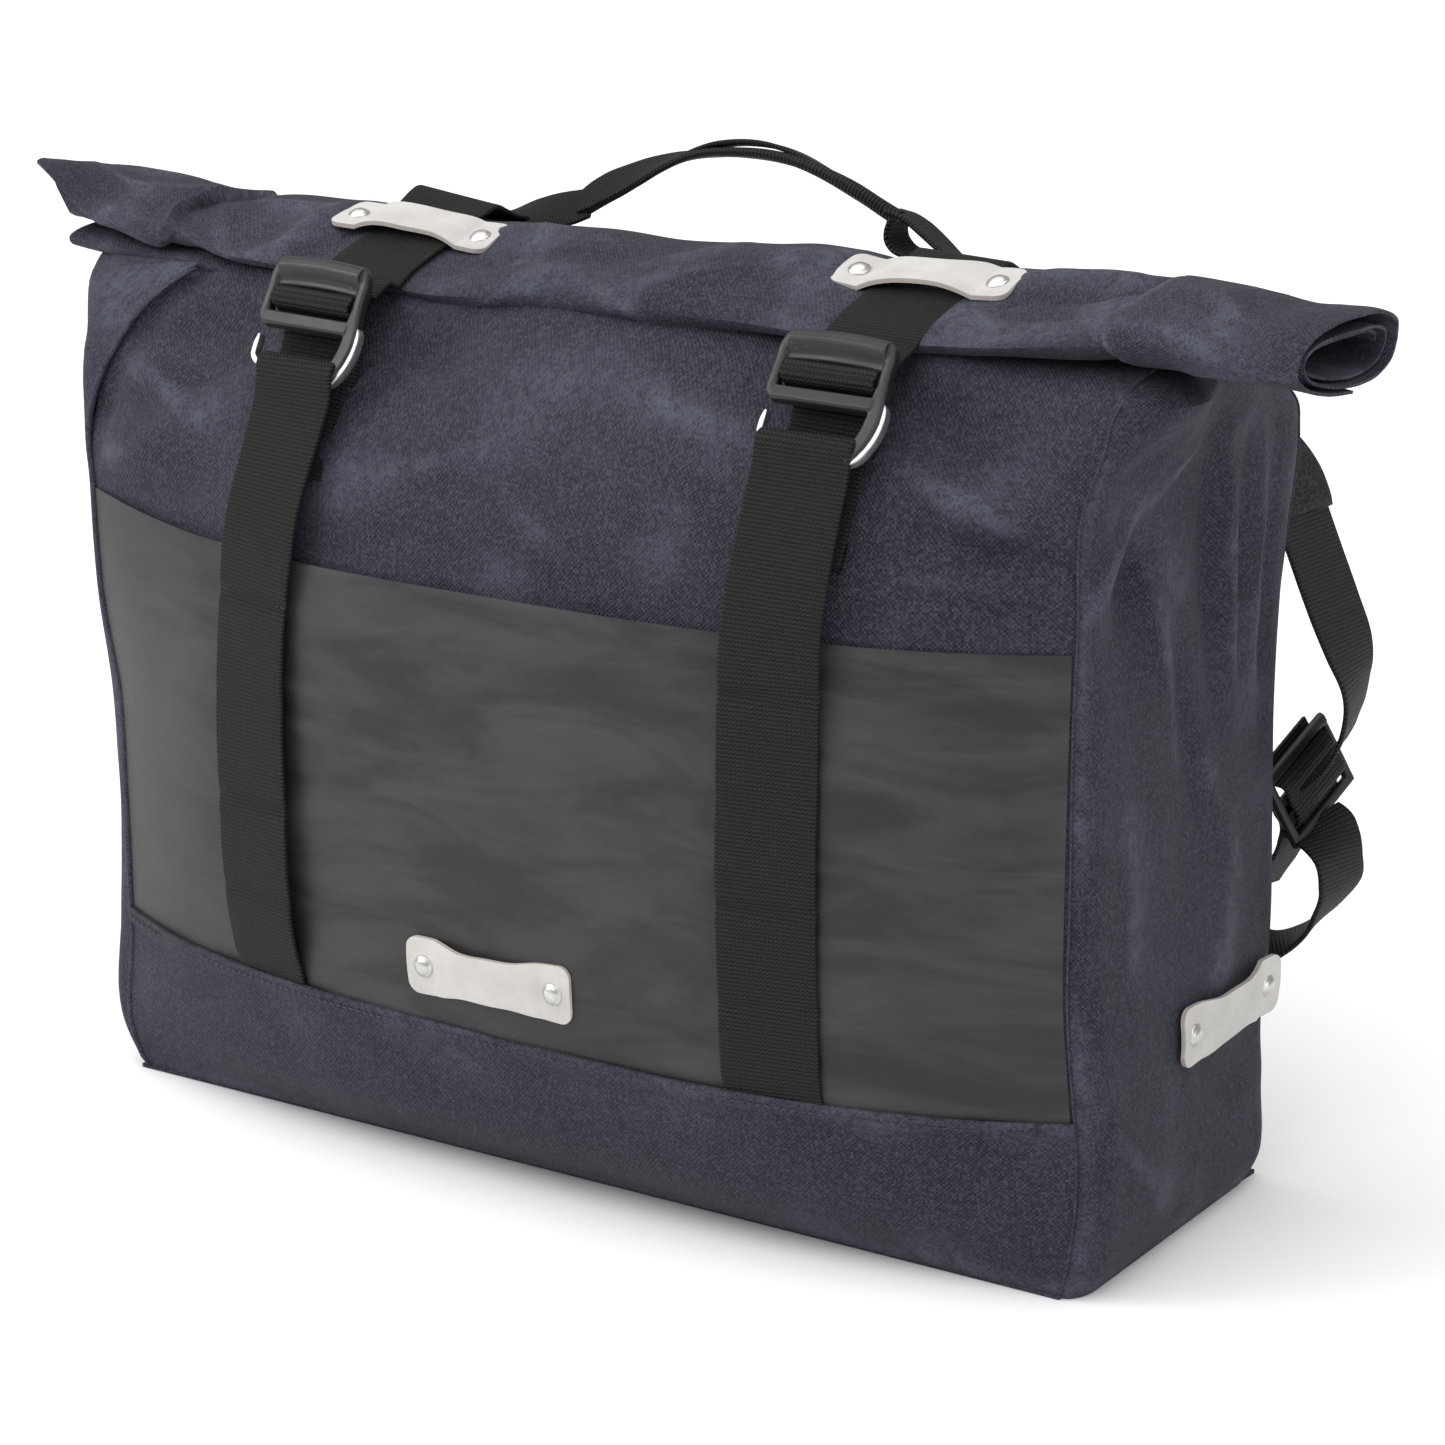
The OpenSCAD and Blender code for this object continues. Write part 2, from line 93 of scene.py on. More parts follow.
def through(pairs, t):
    """A smooth curve through (t, value) pairs: cubic pieces with finite-difference slopes."""
    xs = np.array([p[0] for p in pairs], float)
    ys = np.array([p[1] for p in pairs], float)
    slopes = np.gradient(ys, xs)
    t = np.clip(np.asarray(t, float), xs[0], xs[-1])
    i = np.clip(np.searchsorted(xs, t, side="right") - 1, 0, len(xs) - 2)
    h = xs[i + 1] - xs[i]
    u = (t - xs[i]) / h
    return (
        ys[i] * (1 + 2 * u) * (1 - u) ** 2
        + ys[i + 1] * u * u * (3 - 2 * u)
        + h * slopes[i] * u * (1 - u) ** 2
        + h * slopes[i + 1] * u * u * (u - 1)
    )


def ramp(low, high, t):
    """0 below low, 1 above high, smooth between."""
    u = np.clip((np.asarray(t, float) - low) / (high - low), 0, 1)
    return u * u * (3 - 2 * u)


def waves(u, v, length, seed):
    """Smooth random ripples over a sheet, about -1 to 1, of roughly the given wavelength."""
    rng = np.random.default_rng(seed)
    count = 16
    total = 0
    for _ in range(count):
        angle = rng.uniform(0, 2 * math.pi)
        k = 2 * math.pi / (length * rng.uniform(0.6, 1.6))
        phase = rng.uniform(0, 2 * math.pi)
        total = total + np.sin(k * (u * math.cos(angle) + v * math.sin(angle)) + phase)
    return total / math.sqrt(count) * 0.9


def crease(u, v, start, end, width):
    """1 along a line from start to end on the sheet, fading over width and towards both ends."""
    a, b = np.array(start, float), np.array(end, float)
    d = b - a
    t = np.clip(((u - a[0]) * d[0] + (v - a[1]) * d[1]) / (d @ d), 0, 1)
    distance = np.hypot(u - a[0] - t * d[0], v - a[1] - t * d[1])
    return np.exp(-((distance / width) ** 1.6)) * np.sin(math.pi * np.clip(t, 0.06, 0.94)) ** 0.6


def polyline_place(points, count):
    """count points spaced evenly along a smooth curve through the given points."""
    points = np.array(points, float)
    steps = np.linalg.norm(np.diff(points, axis=0), axis=1)
    s = np.concatenate([[0], np.cumsum(steps)])
    at = np.linspace(0, s[-1], count)
    return np.stack([through(list(zip(s, points[:, k])), at) for k in range(3)], axis=1)


def spread(values, count):
    """One value, or a few of them, spread evenly over count places."""
    values = np.atleast_1d(values)
    return np.interp(np.linspace(0, 1, count), np.linspace(0, 1, len(values)), values)


def unit(v):
    return v / np.maximum(np.linalg.norm(v, axis=-1, keepdims=True), 1e-9)


def outward(surface, u, v, d):
    """Directions out of a surface(u, v) of points, from its points d to either side."""
    du = surface(u + d, v) - surface(u - d, v)
    dv = surface(u, v + d) - surface(u, v - d)
    return unit(np.cross(du, dv))


# ---- Mesh making ----

def make(name, verts, faces, material, flat=None, wear=None, body=BAG, slot=None, stands_for=(), sharp=38):
    """A mesh piece from millimetre points. With body None the caller gives it its body."""
    mesh = bpy.data.meshes.new(name)
    mesh.from_pydata((np.asarray(verts) * MM).tolist(), [], [list(map(int, f)) for f in faces])
    mesh.polygons.foreach_set("use_smooth", [True] * len(mesh.polygons))
    mesh.set_sharp_from_angle(angle=math.radians(sharp))
    if flat is not None:
        layer = mesh.attributes.new("flat", "FLOAT_VECTOR", "POINT")
        layer.data.foreach_set("vector", (np.asarray(flat) * MM).astype(np.float32).ravel())
    if wear is not None:
        layer = mesh.attributes.new("wear", "FLOAT", "POINT")
        layer.data.foreach_set("value", np.asarray(wear, np.float32).ravel())
    obj = bpy.data.objects.new(name, mesh)
    bpy.context.scene.collection.objects.link(obj)
    mesh.materials.append(material)
    if body:
        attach(obj, body)
    if stands_for:
        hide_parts(*stands_for)
    return obj


def grid_faces(rows, cols, start=0, flip=False):
    r, c = np.meshgrid(np.arange(rows - 1), np.arange(cols - 1), indexing="ij")
    a = (start + r * cols + c).ravel()
    quads = np.stack([a, a + 1, a + cols + 1, a + cols], axis=1)
    return quads[:, ::-1] if flip else quads


def shell(grid, thickness, flip=False):
    """Points and faces of a cloth sheet: the grid is its outer face and the inner one lies behind it.
    Rows run up and columns to the right as seen from outside, or flip."""
    rows, cols = grid.shape[:2]
    across = np.gradient(grid, axis=1)
    up = np.gradient(grid, axis=0)
    normal = unit(np.cross(across, up)) * (-1 if flip else 1)
    inner = grid - normal * thickness
    verts = np.concatenate([grid.reshape(-1, 3), inner.reshape(-1, 3)])
    count = rows * cols
    faces = [grid_faces(rows, cols, 0, flip), grid_faces(rows, cols, count, not flip)]
    index = np.arange(count).reshape(rows, cols)
    rim = np.concatenate([index[0, :], index[1:, -1], index[-1, -2::-1], index[-2:0:-1, 0]])
    after = np.roll(rim, -1)
    side = np.stack([rim, rim + count, after + count, after], axis=1)
    faces.append(side[:, ::-1] if flip else side)
    return verts, np.concatenate(faces)


def sheet_piece(name, grid, flat_u, flat_v, thickness, material, wear=None, flip=False, **facts):
    verts, faces = shell(grid, thickness, flip)
    flat = np.stack([flat_u, flat_v, np.zeros_like(flat_u)], axis=-1).reshape(-1, 3)
    both = np.concatenate([flat, flat])
    worn = None if wear is None else np.concatenate([wear.ravel(), wear.ravel()])
    make(name, verts, faces, material, flat=both, wear=worn, **facts)


def canvas_piece(name, grid, flat_u, flat_v, wear, stands_for=(), thickness=1.1, flip=False):
    """A sheet of the waxed canvas."""
    sheet_piece(name, grid, flat_u, flat_v, thickness, CANVAS, wear=np.clip(wear, 0, 1), flip=flip,
                slot="waxed_canvas", stands_for=stands_for)


def add_folds(height, wear, u, v, folds, deeper=1.0, width_share=1.0, rubbed_share=0.5):
    """Adds creases, each (start, end, width, depth, rubbed wax), to a cloth's height and wear."""
    for start, end, width, depth, rubbed in folds:
        height = height + deeper * depth * crease(u, v, start, end, width * width_share)
        wear = wear + rubbed * crease(u, v, start, end, width * rubbed_share)
    return height, wear


def sweep(sections):
    """Points and faces of a capped skin over sections, each a ring of the same number of points."""
    n, m = sections.shape[:2]
    faces = []
    for i in range(n - 1):
        for k in range(m):
            q = (k + 1) % m
            faces.append([i * m + k, i * m + q, (i + 1) * m + q, (i + 1) * m + k])
    faces.append(list(range(m))[::-1])
    faces.append([(n - 1) * m + k for k in range(m)])
    return sections.reshape(-1, 3), faces


def frames_along(path, across):
    """Tangent, width direction and normal at each point of a band's path."""
    tangent = unit(np.gradient(path, axis=0))
    across = unit(across - tangent * np.sum(across * tangent, axis=1, keepdims=True))
    return tangent, across, np.cross(across, tangent)


def band_section(width, thickness, count=9):
    """Outline of a webbing: flat faces and rounded selvedges, as (across, out) pairs."""
    half = width / 2
    r = thickness / 2
    turns = (math.pi / 4, math.pi / 2, 3 * math.pi / 4)
    top = [(x, r) for x in np.linspace(half - r, -half + r, count)]
    left = [(-half + r - r * math.sin(a), r * math.cos(a)) for a in turns]
    bottom = [(x, -r) for x in np.linspace(-half + r, half - r, count)]
    right = [(half - r + r * math.sin(a), -r * math.cos(a)) for a in turns]
    return np.array(top + left + bottom + right)


def band(path, across, width, thickness):
    """Points, faces and flat places of a webbing along a path. width and thickness may vary along it."""
    path = np.asarray(path, float)
    n = len(path)
    across = np.broadcast_to(np.asarray(across, float), (n, 3))
    width = np.broadcast_to(np.asarray(width, float), (n,))
    thickness = np.broadcast_to(np.asarray(thickness, float), (n,))
    _, w, normal = frames_along(path, across)
    outline = band_section(1000, 2)
    s = outline[:, 0] / 500
    sections = np.zeros((n, len(outline), 3))
    for i in range(n):
        shape = band_section(width[i], thickness[i])
        sections[i] = path[i] + np.outer(shape[:, 0], w[i]) + np.outer(shape[:, 1], normal[i])
    along = np.concatenate([[0], np.cumsum(np.linalg.norm(np.diff(path, axis=0), axis=1))])
    flat = np.zeros((n, len(outline), 3))
    flat[:, :, 0] = s * width[:, None] / 2
    flat[:, :, 1] = along[:, None]
    flat[:, :, 2] = outline[:, 1]
    verts, faces = sweep(sections)
    return verts, faces, flat.reshape(-1, 3)


def lathe(profile):
    """A turned shape about +Z from (radius, height) pairs, both ends close to the axis."""
    a = np.linspace(0, 2 * math.pi, 40, endpoint=False)
    return sweep(np.array([np.stack([r * np.cos(a), r * np.sin(a), z + 0 * a], axis=1) for r, z in profile]))


def rotated(points, axis, degrees):
    """Points turned about one axis."""
    return points @ np.array(Matrix.Rotation(math.radians(degrees), 3, axis)).T


def joined(parts):
    """One mesh's points and faces from several."""
    verts, faces, start = [], [], 0
    for v, f in parts:
        verts.append(v)
        faces += [[i + start for i in face] for face in f]
        start += len(v)
    return np.concatenate(verts), faces


# ---- Materials ----

class Shader:
    """A node material with short ways to add nodes."""

    def __init__(self, name):
        self.material = bpy.data.materials.new(name)
        self.material.use_nodes = True
        self.tree = self.material.node_tree
        self.bsdf = self.tree.nodes["Principled BSDF"]

    def node(self, kind, values=None, **settings):
        made = self.tree.nodes.new(kind)
        for key, value in settings.items():
            setattr(made, key, value)
        for key, value in (values or {}).items():
            if isinstance(value, bpy.types.NodeSocket):
                self.tree.links.new(value, made.inputs[key])
            else:
                made.inputs[key].default_value = value
        return made

    def math(self, operation, *values):
        """One arithmetic step. A second or third value left out keeps the node's own 0.5."""
        return self.node("ShaderNodeMath", dict(enumerate(values)), operation=operation).outputs[0]

    def flat(self):
        """The place on the flat cloth, in metres."""
        return self.node("ShaderNodeAttribute", attribute_name="flat").outputs["Vector"]

    def place(self):
        return self.node("ShaderNodeTexCoord").outputs["Object"]

    def value(self, attribute):
        return self.node("ShaderNodeAttribute", attribute_name=attribute).outputs["Fac"]

    def noise(self, vector, scale, detail=3.0, rough=0.5, distortion=0.0):
        values = {"Vector": vector, "Scale": scale, "Detail": detail}
        values |= {"Roughness": rough, "Distortion": distortion}
        return self.node("ShaderNodeTexNoise", values).outputs["Fac"]

    def cells(self, vector, scale):
        """Distance from the edges of random cells."""
        values = {"Vector": vector, "Scale": scale}
        return self.node("ShaderNodeTexVoronoi", values, feature="DISTANCE_TO_EDGE").outputs["Distance"]

    def remap(self, value, low, high, to_low=0.0, to_high=1.0, smooth=True):
        made = self.node(
            "ShaderNodeMapRange",
            {"Value": value, "From Min": low, "From Max": high, "To Min": to_low, "To Max": to_high},
            interpolation_type="SMOOTHSTEP" if smooth else "LINEAR",
        )
        return made.outputs["Result"]

    def mix(self, factor, a, b):
        made = self.node("ShaderNodeMix", data_type="RGBA")
        for index, value in ((0, factor), (6, a), (7, b)):
            if isinstance(value, bpy.types.NodeSocket):
                self.tree.links.new(value, made.inputs[index])
            else:
                made.inputs[index].default_value = value if index == 0 else (*value, 1.0)
        return made.outputs[2]

    def scaled(self, vector, x, y, z=1.0):
        """A place stretched by its own factor along each axis."""
        return self.node("ShaderNodeMapping", {"Vector": vector, "Scale": (x, y, z)}).outputs["Vector"]

    def axes(self, vector):
        return self.node("ShaderNodeSeparateXYZ", {0: vector}).outputs

    def bump(self, height, strength, distance, after=None):
        values = {"Height": height, "Strength": strength, "Distance": distance}
        if after is not None:
            values["Normal"] = after
        return self.node("ShaderNodeBump", values).outputs["Normal"]

    def set(self, **sockets):
        names = {
            "color": "Base Color", "roughness": "Roughness", "normal": "Normal", "metallic": "Metallic",
            "sheen": "Sheen Weight", "sheen_roughness": "Sheen Roughness", "specular": "Specular IOR Level",
        }
        for key, value in sockets.items():
            socket = self.bsdf.inputs[names[key]]
            if isinstance(value, bpy.types.NodeSocket):
                self.tree.links.new(value, socket)
            else:
                socket.default_value = (*value, 1.0) if isinstance(value, tuple) else value
        return self.material


def waxed_canvas():
    """Navy plain-weave canvas: mottled wax, paler where creases are rubbed, with a little lint."""
    s = Shader("waxed_canvas")
    flat = s.flat()
    thread = 0.00086
    x, y, _ = s.axes(flat)
    wobble = s.math("MULTIPLY", s.math("SUBTRACT", s.noise(flat, 260.0, 2.0), 0.5), 1.9)
    warp = s.math("SINE", s.math("ADD", s.math("MULTIPLY", x, math.pi / thread), wobble))
    weft = s.math("SINE", s.math("ADD", s.math("MULTIPLY", y, math.pi / thread), wobble))
    weave = s.math("MULTIPLY_ADD", s.math("MULTIPLY", warp, weft), 0.5, 0.5)
    # Each crossing of the threads takes the wax differently
    crossing = s.node("ShaderNodeVectorMath", {0: flat, 1: (thread, thread, 1.0)}, operation="SNAP")
    fleck = s.node("ShaderNodeTexWhiteNoise", {"Vector": crossing.outputs[0]}).outputs["Value"]
    slub = s.noise(flat, 620.0, 3.0, 0.6)
    warp_slub = s.noise(s.scaled(flat, 900.0, 60.0), 1.0, 2.0)
    weft_slub = s.noise(s.scaled(flat, 60.0, 900.0), 1.0, 2.0)
    slubs = s.math("MULTIPLY", s.math("ADD", warp_slub, weft_slub), 0.5)
    cloud = s.noise(flat, 14.0, 5.0, 0.62, 0.6)
    patch = s.noise(flat, 5.0, 3.0, 0.55)
    worn = s.value("wear")
    patchy = s.remap(s.noise(flat, 130.0, 4.0, 0.7), 0.32, 0.68, 0.25, 1.0)
    rub = s.math("MULTIPLY", s.remap(worn, 0.25, 1.0), patchy)
    base = s.mix(s.remap(cloud, 0.32, 0.70), (0.0076, 0.0070, 0.0122), (0.0182, 0.0170, 0.0280))
    base = s.mix(s.remap(patch, 0.35, 0.7, 0.0, 0.45), base, (0.0150, 0.0130, 0.0200))
    base = s.mix(s.math("MULTIPLY", rub, 0.66), base, (0.094, 0.098, 0.138))
    grain = s.math("ADD", s.math("MULTIPLY", weave, 0.35), s.math("MULTIPLY", slub, 0.45))
    grain = s.remap(s.math("ADD", grain, s.math("MULTIPLY", slubs, 0.55)), 0.42, 0.95)
    base = s.mix(s.math("MULTIPLY", grain, 0.50), base, (0.058, 0.058, 0.082))
    base = s.mix(s.remap(fleck, 0.55, 1.0, 0.0, 0.30), base, (0.076, 0.078, 0.108))
    base = s.mix(s.remap(fleck, 0.0, 0.35, 0.40, 0.0), base, (0.0055, 0.0050, 0.0085))
    lint = s.remap(s.noise(flat, 1300.0, 0.0), 0.78, 0.84, 0.0, 0.45)
    base = s.mix(lint, base, (0.15, 0.15, 0.18))
    height = s.math("ADD", s.math("MULTIPLY", weave, 0.8), s.math("MULTIPLY", slub, 0.5))
    soft = s.bump(s.noise(flat, 16.0, 4.0, 0.55), 0.65, 0.0040)
    soft = s.bump(s.noise(flat, 52.0, 4.0, 0.6), 0.55, 0.0014, soft)
    normal = s.bump(height, 0.9, 0.00034, soft)
    return s.set(
        color=base, roughness=s.remap(cloud, 0.2, 0.8, 0.66, 0.82, False), normal=normal,
        sheen=0.03, sheen_roughness=0.45, specular=0.16,
    )


def sheet_rubber():
    """Matte sheet rubber: smoke-grey, smudged brown and pale, faintly lined by the mill's rollers."""
    s = Shader("sheet_rubber")
    flat = s.flat()
    smear = s.scaled(flat, 5.0, 17.0)
    smoke = s.noise(smear, 2.6, 6.0, 0.62, 0.9)
    cloud = s.noise(flat, 22.0, 5.0, 0.6, 0.4)
    dust = s.noise(flat, 900.0, 2.0, 0.7)
    base = s.mix(s.remap(smoke, 0.32, 0.68), (0.0150, 0.0142, 0.0143), (0.0385, 0.0365, 0.0365))
    base = s.mix(s.remap(cloud, 0.55, 0.74, 0.0, 0.55), base, (0.028, 0.032, 0.029))
    base = s.mix(s.remap(cloud, 0.22, 0.40, 0.5, 0.0), base, (0.036, 0.029, 0.028))
    base = s.mix(s.remap(dust, 0.62, 0.78, 0.0, 0.25), base, (0.075, 0.075, 0.075))
    rough = s.math("ADD", s.remap(smoke, 0.3, 0.7, 0.44, 0.56), s.remap(dust, 0.3, 0.7, -0.03, 0.05))
    lines = s.noise(s.scaled(flat, 3.0, 260.0), 4.0, 2.0)
    normal = s.bump(lines, 0.08, 0.0004, s.bump(s.noise(flat, 30.0, 3.0), 0.22, 0.0011))
    return s.set(color=base, roughness=rough, normal=normal, specular=0.30)


def webbing():
    """Black ribbed webbing: weft ribs across the band and a stitch-like warp between them, with painted shade
    in the grooves and a painted highlight on the rib crowns.
    """
    s = Shader("webbing")
    flat = s.flat()
    x, y, _ = s.axes(flat)
    rib = 0.00150
    cord = 0.00165
    half_shift = s.math("MULTIPLY", s.math("SINE", s.math("MULTIPLY", x, 2 * math.pi / cord)), 0.9)
    ribs = s.math("SINE", s.math("ADD", s.math("MULTIPLY", y, 2 * math.pi / rib), half_shift))
    warp = s.math("SINE", s.math("MULTIPLY", x, 4 * math.pi / cord))
    fuzz = s.noise(flat, 2600.0, 2.0, 0.7)
    height = s.math("ADD", s.math("MULTIPLY_ADD", ribs, 0.5, 0.5), s.math("MULTIPLY", warp, 0.22))
    # The rib and warp relief, with a little fuzz, is painted into the colour: near-black in the grooves as
    # painted shade, lighter on the rib crowns as painted highlight
    painted_relief_shade = s.remap(s.math("ADD", height, s.math("MULTIPLY", fuzz, 0.5)), 0.1, 1.25)
    base = s.mix(painted_relief_shade, (0.0008, 0.0008, 0.0008), (0.0160, 0.0160, 0.0152))
    dusty = s.remap(s.noise(flat, 60.0, 4.0, 0.65), 0.45, 0.75, 0.0, 0.22)
    base = s.mix(dusty, base, (0.0085, 0.0085, 0.0081))
    normal = s.bump(height, 1.0, 0.00045)
    return s.set(color=base, roughness=0.58, normal=normal, sheen=0.0, specular=0.18)


def moulded_plastic():
    """Black acetal with a fine spark-eroded grain and a painted highlight that lightens its convex edges."""
    s = Shader("moulded_plastic")
    place = s.place()
    grain = s.noise(place, 2200.0, 2.0, 0.6)
    cloud = s.noise(place, 90.0, 3.0)
    edge = s.node("ShaderNodeNewGeometry").outputs["Pointiness"]
    # Convex edges, found by pointiness, are painted lighter: a painted highlight
    base = s.mix(s.remap(edge, 0.50, 0.58), (0.011, 0.011, 0.0115), (0.034, 0.034, 0.035))
    rough = s.math("ADD", s.remap(cloud, 0.3, 0.7, 0.34, 0.44), s.remap(grain, 0.3, 0.7, -0.03, 0.03))
    return s.set(color=base, roughness=rough, normal=s.bump(grain, 0.12, 0.00008), specular=0.36)


def pale_leather():
    """Off-white finished leather: fine pores, soft mottling and a slightly browned cut edge."""
    s = Shader("pale_leather")
    place = s.place()
    pores = s.cells(place, 1500.0)
    cloud = s.noise(place, 60.0, 5.0, 0.6)
    fine = s.noise(place, 500.0, 3.0, 0.6)
    base = s.mix(s.remap(cloud, 0.3, 0.7), (0.44, 0.425, 0.405), (0.52, 0.505, 0.485))
    base = s.mix(s.remap(fine, 0.35, 0.7, 0.0, 0.22), base, (0.45, 0.43, 0.40))
    edge = s.value("wear")
    base = s.mix(s.remap(edge, 0.2, 1.0, 0.0, 0.6), base, (0.36, 0.31, 0.26))
    height = s.math("ADD", s.remap(pores, 0.0, 0.08), s.math("MULTIPLY", fine, 0.8))
    return s.set(color=base, roughness=s.remap(fine, 0.3, 0.7, 0.50, 0.62),
                 normal=s.bump(height, 0.12, 0.00012), specular=0.4)


def bright_metal(name, color, rough):
    """Plated steel with fine scratches."""
    s = Shader(name)
    place = s.place()
    scratch = s.noise(s.scaled(place, 900.0, 90.0, 400.0), 3.0, 3.0)
    cloud = s.noise(place, 400.0, 3.0)
    return s.set(
        color=s.mix(s.remap(cloud, 0.3, 0.7), color, tuple(0.85 * c for c in color)), metallic=1.0,
        roughness=s.remap(scratch, 0.3, 0.7, rough, rough + 0.12), normal=s.bump(scratch, 0.05, 0.00006),
    )


def thread():
    """Twisted sewing thread."""
    s = Shader("thread")
    twist = s.noise(s.place(), 3000.0, 1.0)
    return s.set(color=s.mix(twist, (0.008, 0.008, 0.012), (0.022, 0.022, 0.030)), roughness=0.6,
                 normal=s.bump(twist, 0.3, 0.0001))


def pad_face():
    """Black air-mesh pad face with a fine honeycomb whose recessed cell hollows are painted darker as painted
    shade.
    """
    s = Shader("pad_face")
    painted_relief_shade = s.remap(s.cells(s.flat(), 420.0), 0.0, 0.12)
    # The recessed cell hollows are painted darker than their rims: painted shade
    return s.set(color=s.mix(painted_relief_shade, (0.030, 0.030, 0.031), (0.010, 0.010, 0.010)), roughness=0.7,
                 normal=s.bump(painted_relief_shade, 0.6, -0.0004), specular=0.2)


PAD = pad_face()
CANVAS = waxed_canvas()
RUBBER = sheet_rubber()
WEBBING = webbing()
PLASTIC = moulded_plastic()
LEATHER = pale_leather()
RIVET = bright_metal("rivet_metal", (0.60, 0.59, 0.57), 0.27)
HOOK_METAL = bright_metal("hook_metal", (0.52, 0.52, 0.53), 0.36)
THREAD = thread()


# ---- The body: seams, swells and folds, all against height ----

# Each corner seam's way outside the half width, and its way behind FRONT or BACK, against height
FRONT_SEAM_OUT = {
    -1: [(0, -8), (4, -4), (10, -2), (60, -2), (120, -2), (155, -1), (190, 6), (235, 11), (258, 14), (286, 4),
         (309, -13), (322, -31)],
    1: [(0, -3), (6, -1), (120, 0), (240, 0), (283, -1), (301, 4), (314, 6), (322, 8)],
}
FRONT_SEAM_Y = {
    -1: [(0, 3), (8, 1), (60, 0), (235, 1), (258, 3), (286, 7), (309, 16), (322, 24)],
    1: [(0, 3), (10, 1), (60, 0), (238, 1), (265, 3), (283, 5), (301, 9), (314, 13), (322, 20)],
}
BACK_SEAM_OUT = [(0, -10), (8, -7), (40, -7.5), (62, -7.5), (90, -5), (140, -5), (180, -5), (220, -3),
                 (268, 1.5), (298, 3.5), (322, 5)]
# How far each side's cloth rounds out beyond its front seam, and how deep the rounding is
ROUND_OUT = {
    -1: [(0, 8), (10, 11), (120, 11), (155, 12), (190, 10), (212, 9), (235, 8), (258, 9), (272, 16),
         (286, 25), (300, 37), (309, 46), (322, 56)],
    1: [(0, 8), (10, 10), (65, 9.5), (120, 8), (200, 6), (250, 4.5), (300, 4), (322, 4)],
}
BACK_Y = [(0, 0), (60, 2), (160, 4), (250, 3), (284, 3), (294, 0), (301, -9), (308, -25), (314, -43),
          (322, -66)]
# How far the front stands forward of its seams in the middle
SWELL = [(0, 0), (8, 9), (22, 23), (40, 32), (65, 38.5), (110, 42.5), (160, 43.5), (205, 41.5), (234, 38),
         (252, 33), (270, 27), (285, 19), (300, 8), (311, -1), (322, -8)]
# Depth over which a side's cloth turns its front and its back corner
FRONT_CORNER, BACK_CORNER = 14.0, 16.0
# The fold that stands out on each side below the roll, as (y, height)
RIDGE_Z = [(-73, 256), (-57, 271), (-33, 280), (-14, 291), (0, 301), (17, 304), (50, 302), (75, 298)]
TOP_Z = 322
# Cloth of the front that runs on above TOP_Z, in under the roll
TUCK = 34
# Height at which the front and the gussets turn in under the roll
TURN_Z = 314


def front_seam(side, z):
    """x and y of a front corner seam at each height."""
    return side * (HALF_W + through(FRONT_SEAM_OUT[side], z)), FRONT + through(FRONT_SEAM_Y[side], z)


def back_seam(side, z):
    return side * (HALF_W + through(BACK_SEAM_OUT, z)), BACK + through(BACK_Y, z)


def front_point(s, z):
    """A point of the front's outer face. s is -1 at the left seam and 1 at the right one."""
    lx, ly = front_seam(-1, z)
    rx, ry = front_seam(1, z)
    share = (s + 1) / 2
    x = lx + (rx - lx) * share
    fall = 1 - np.abs(s) ** 3.1
    lean = 1 + 0.05 * np.sin(math.pi * (s * 0.5 + 0.1))
    y = ly + (ry - ly) * share - through(SWELL, z) * fall * lean
    return np.stack([x, y, z + 0 * s], axis=-1)


def front_s(x, z):
    """The s of a point of the front at a given x."""
    lx, _ = front_seam(-1, z)
    rx, _ = front_seam(1, z)
    return 2 * (x - lx) / (rx - lx) - 1


def front_at(x, z):
    return front_point(front_s(x, z), z)


def front_normal(x, z):
    return outward(front_at, x, z, 2.0)


def canvas_relief(u, v, seed):
    """Small soft wrinkles of the waxed canvas, in millimetres out of the cloth."""
    broad = waves(u, v, 105, seed)
    medium = waves(u, v, 42, seed + 1)
    ridged = 1 - np.abs(waves(u, v, 70, seed + 2))
    return 0.75 * broad + 0.26 * medium + 0.35 * np.clip(ridged, 0, 1) ** 3


def grid_of(us, vs):
    """Two arrays over a grid: rows follow vs (up) and columns us."""
    return np.meshgrid(us, vs)


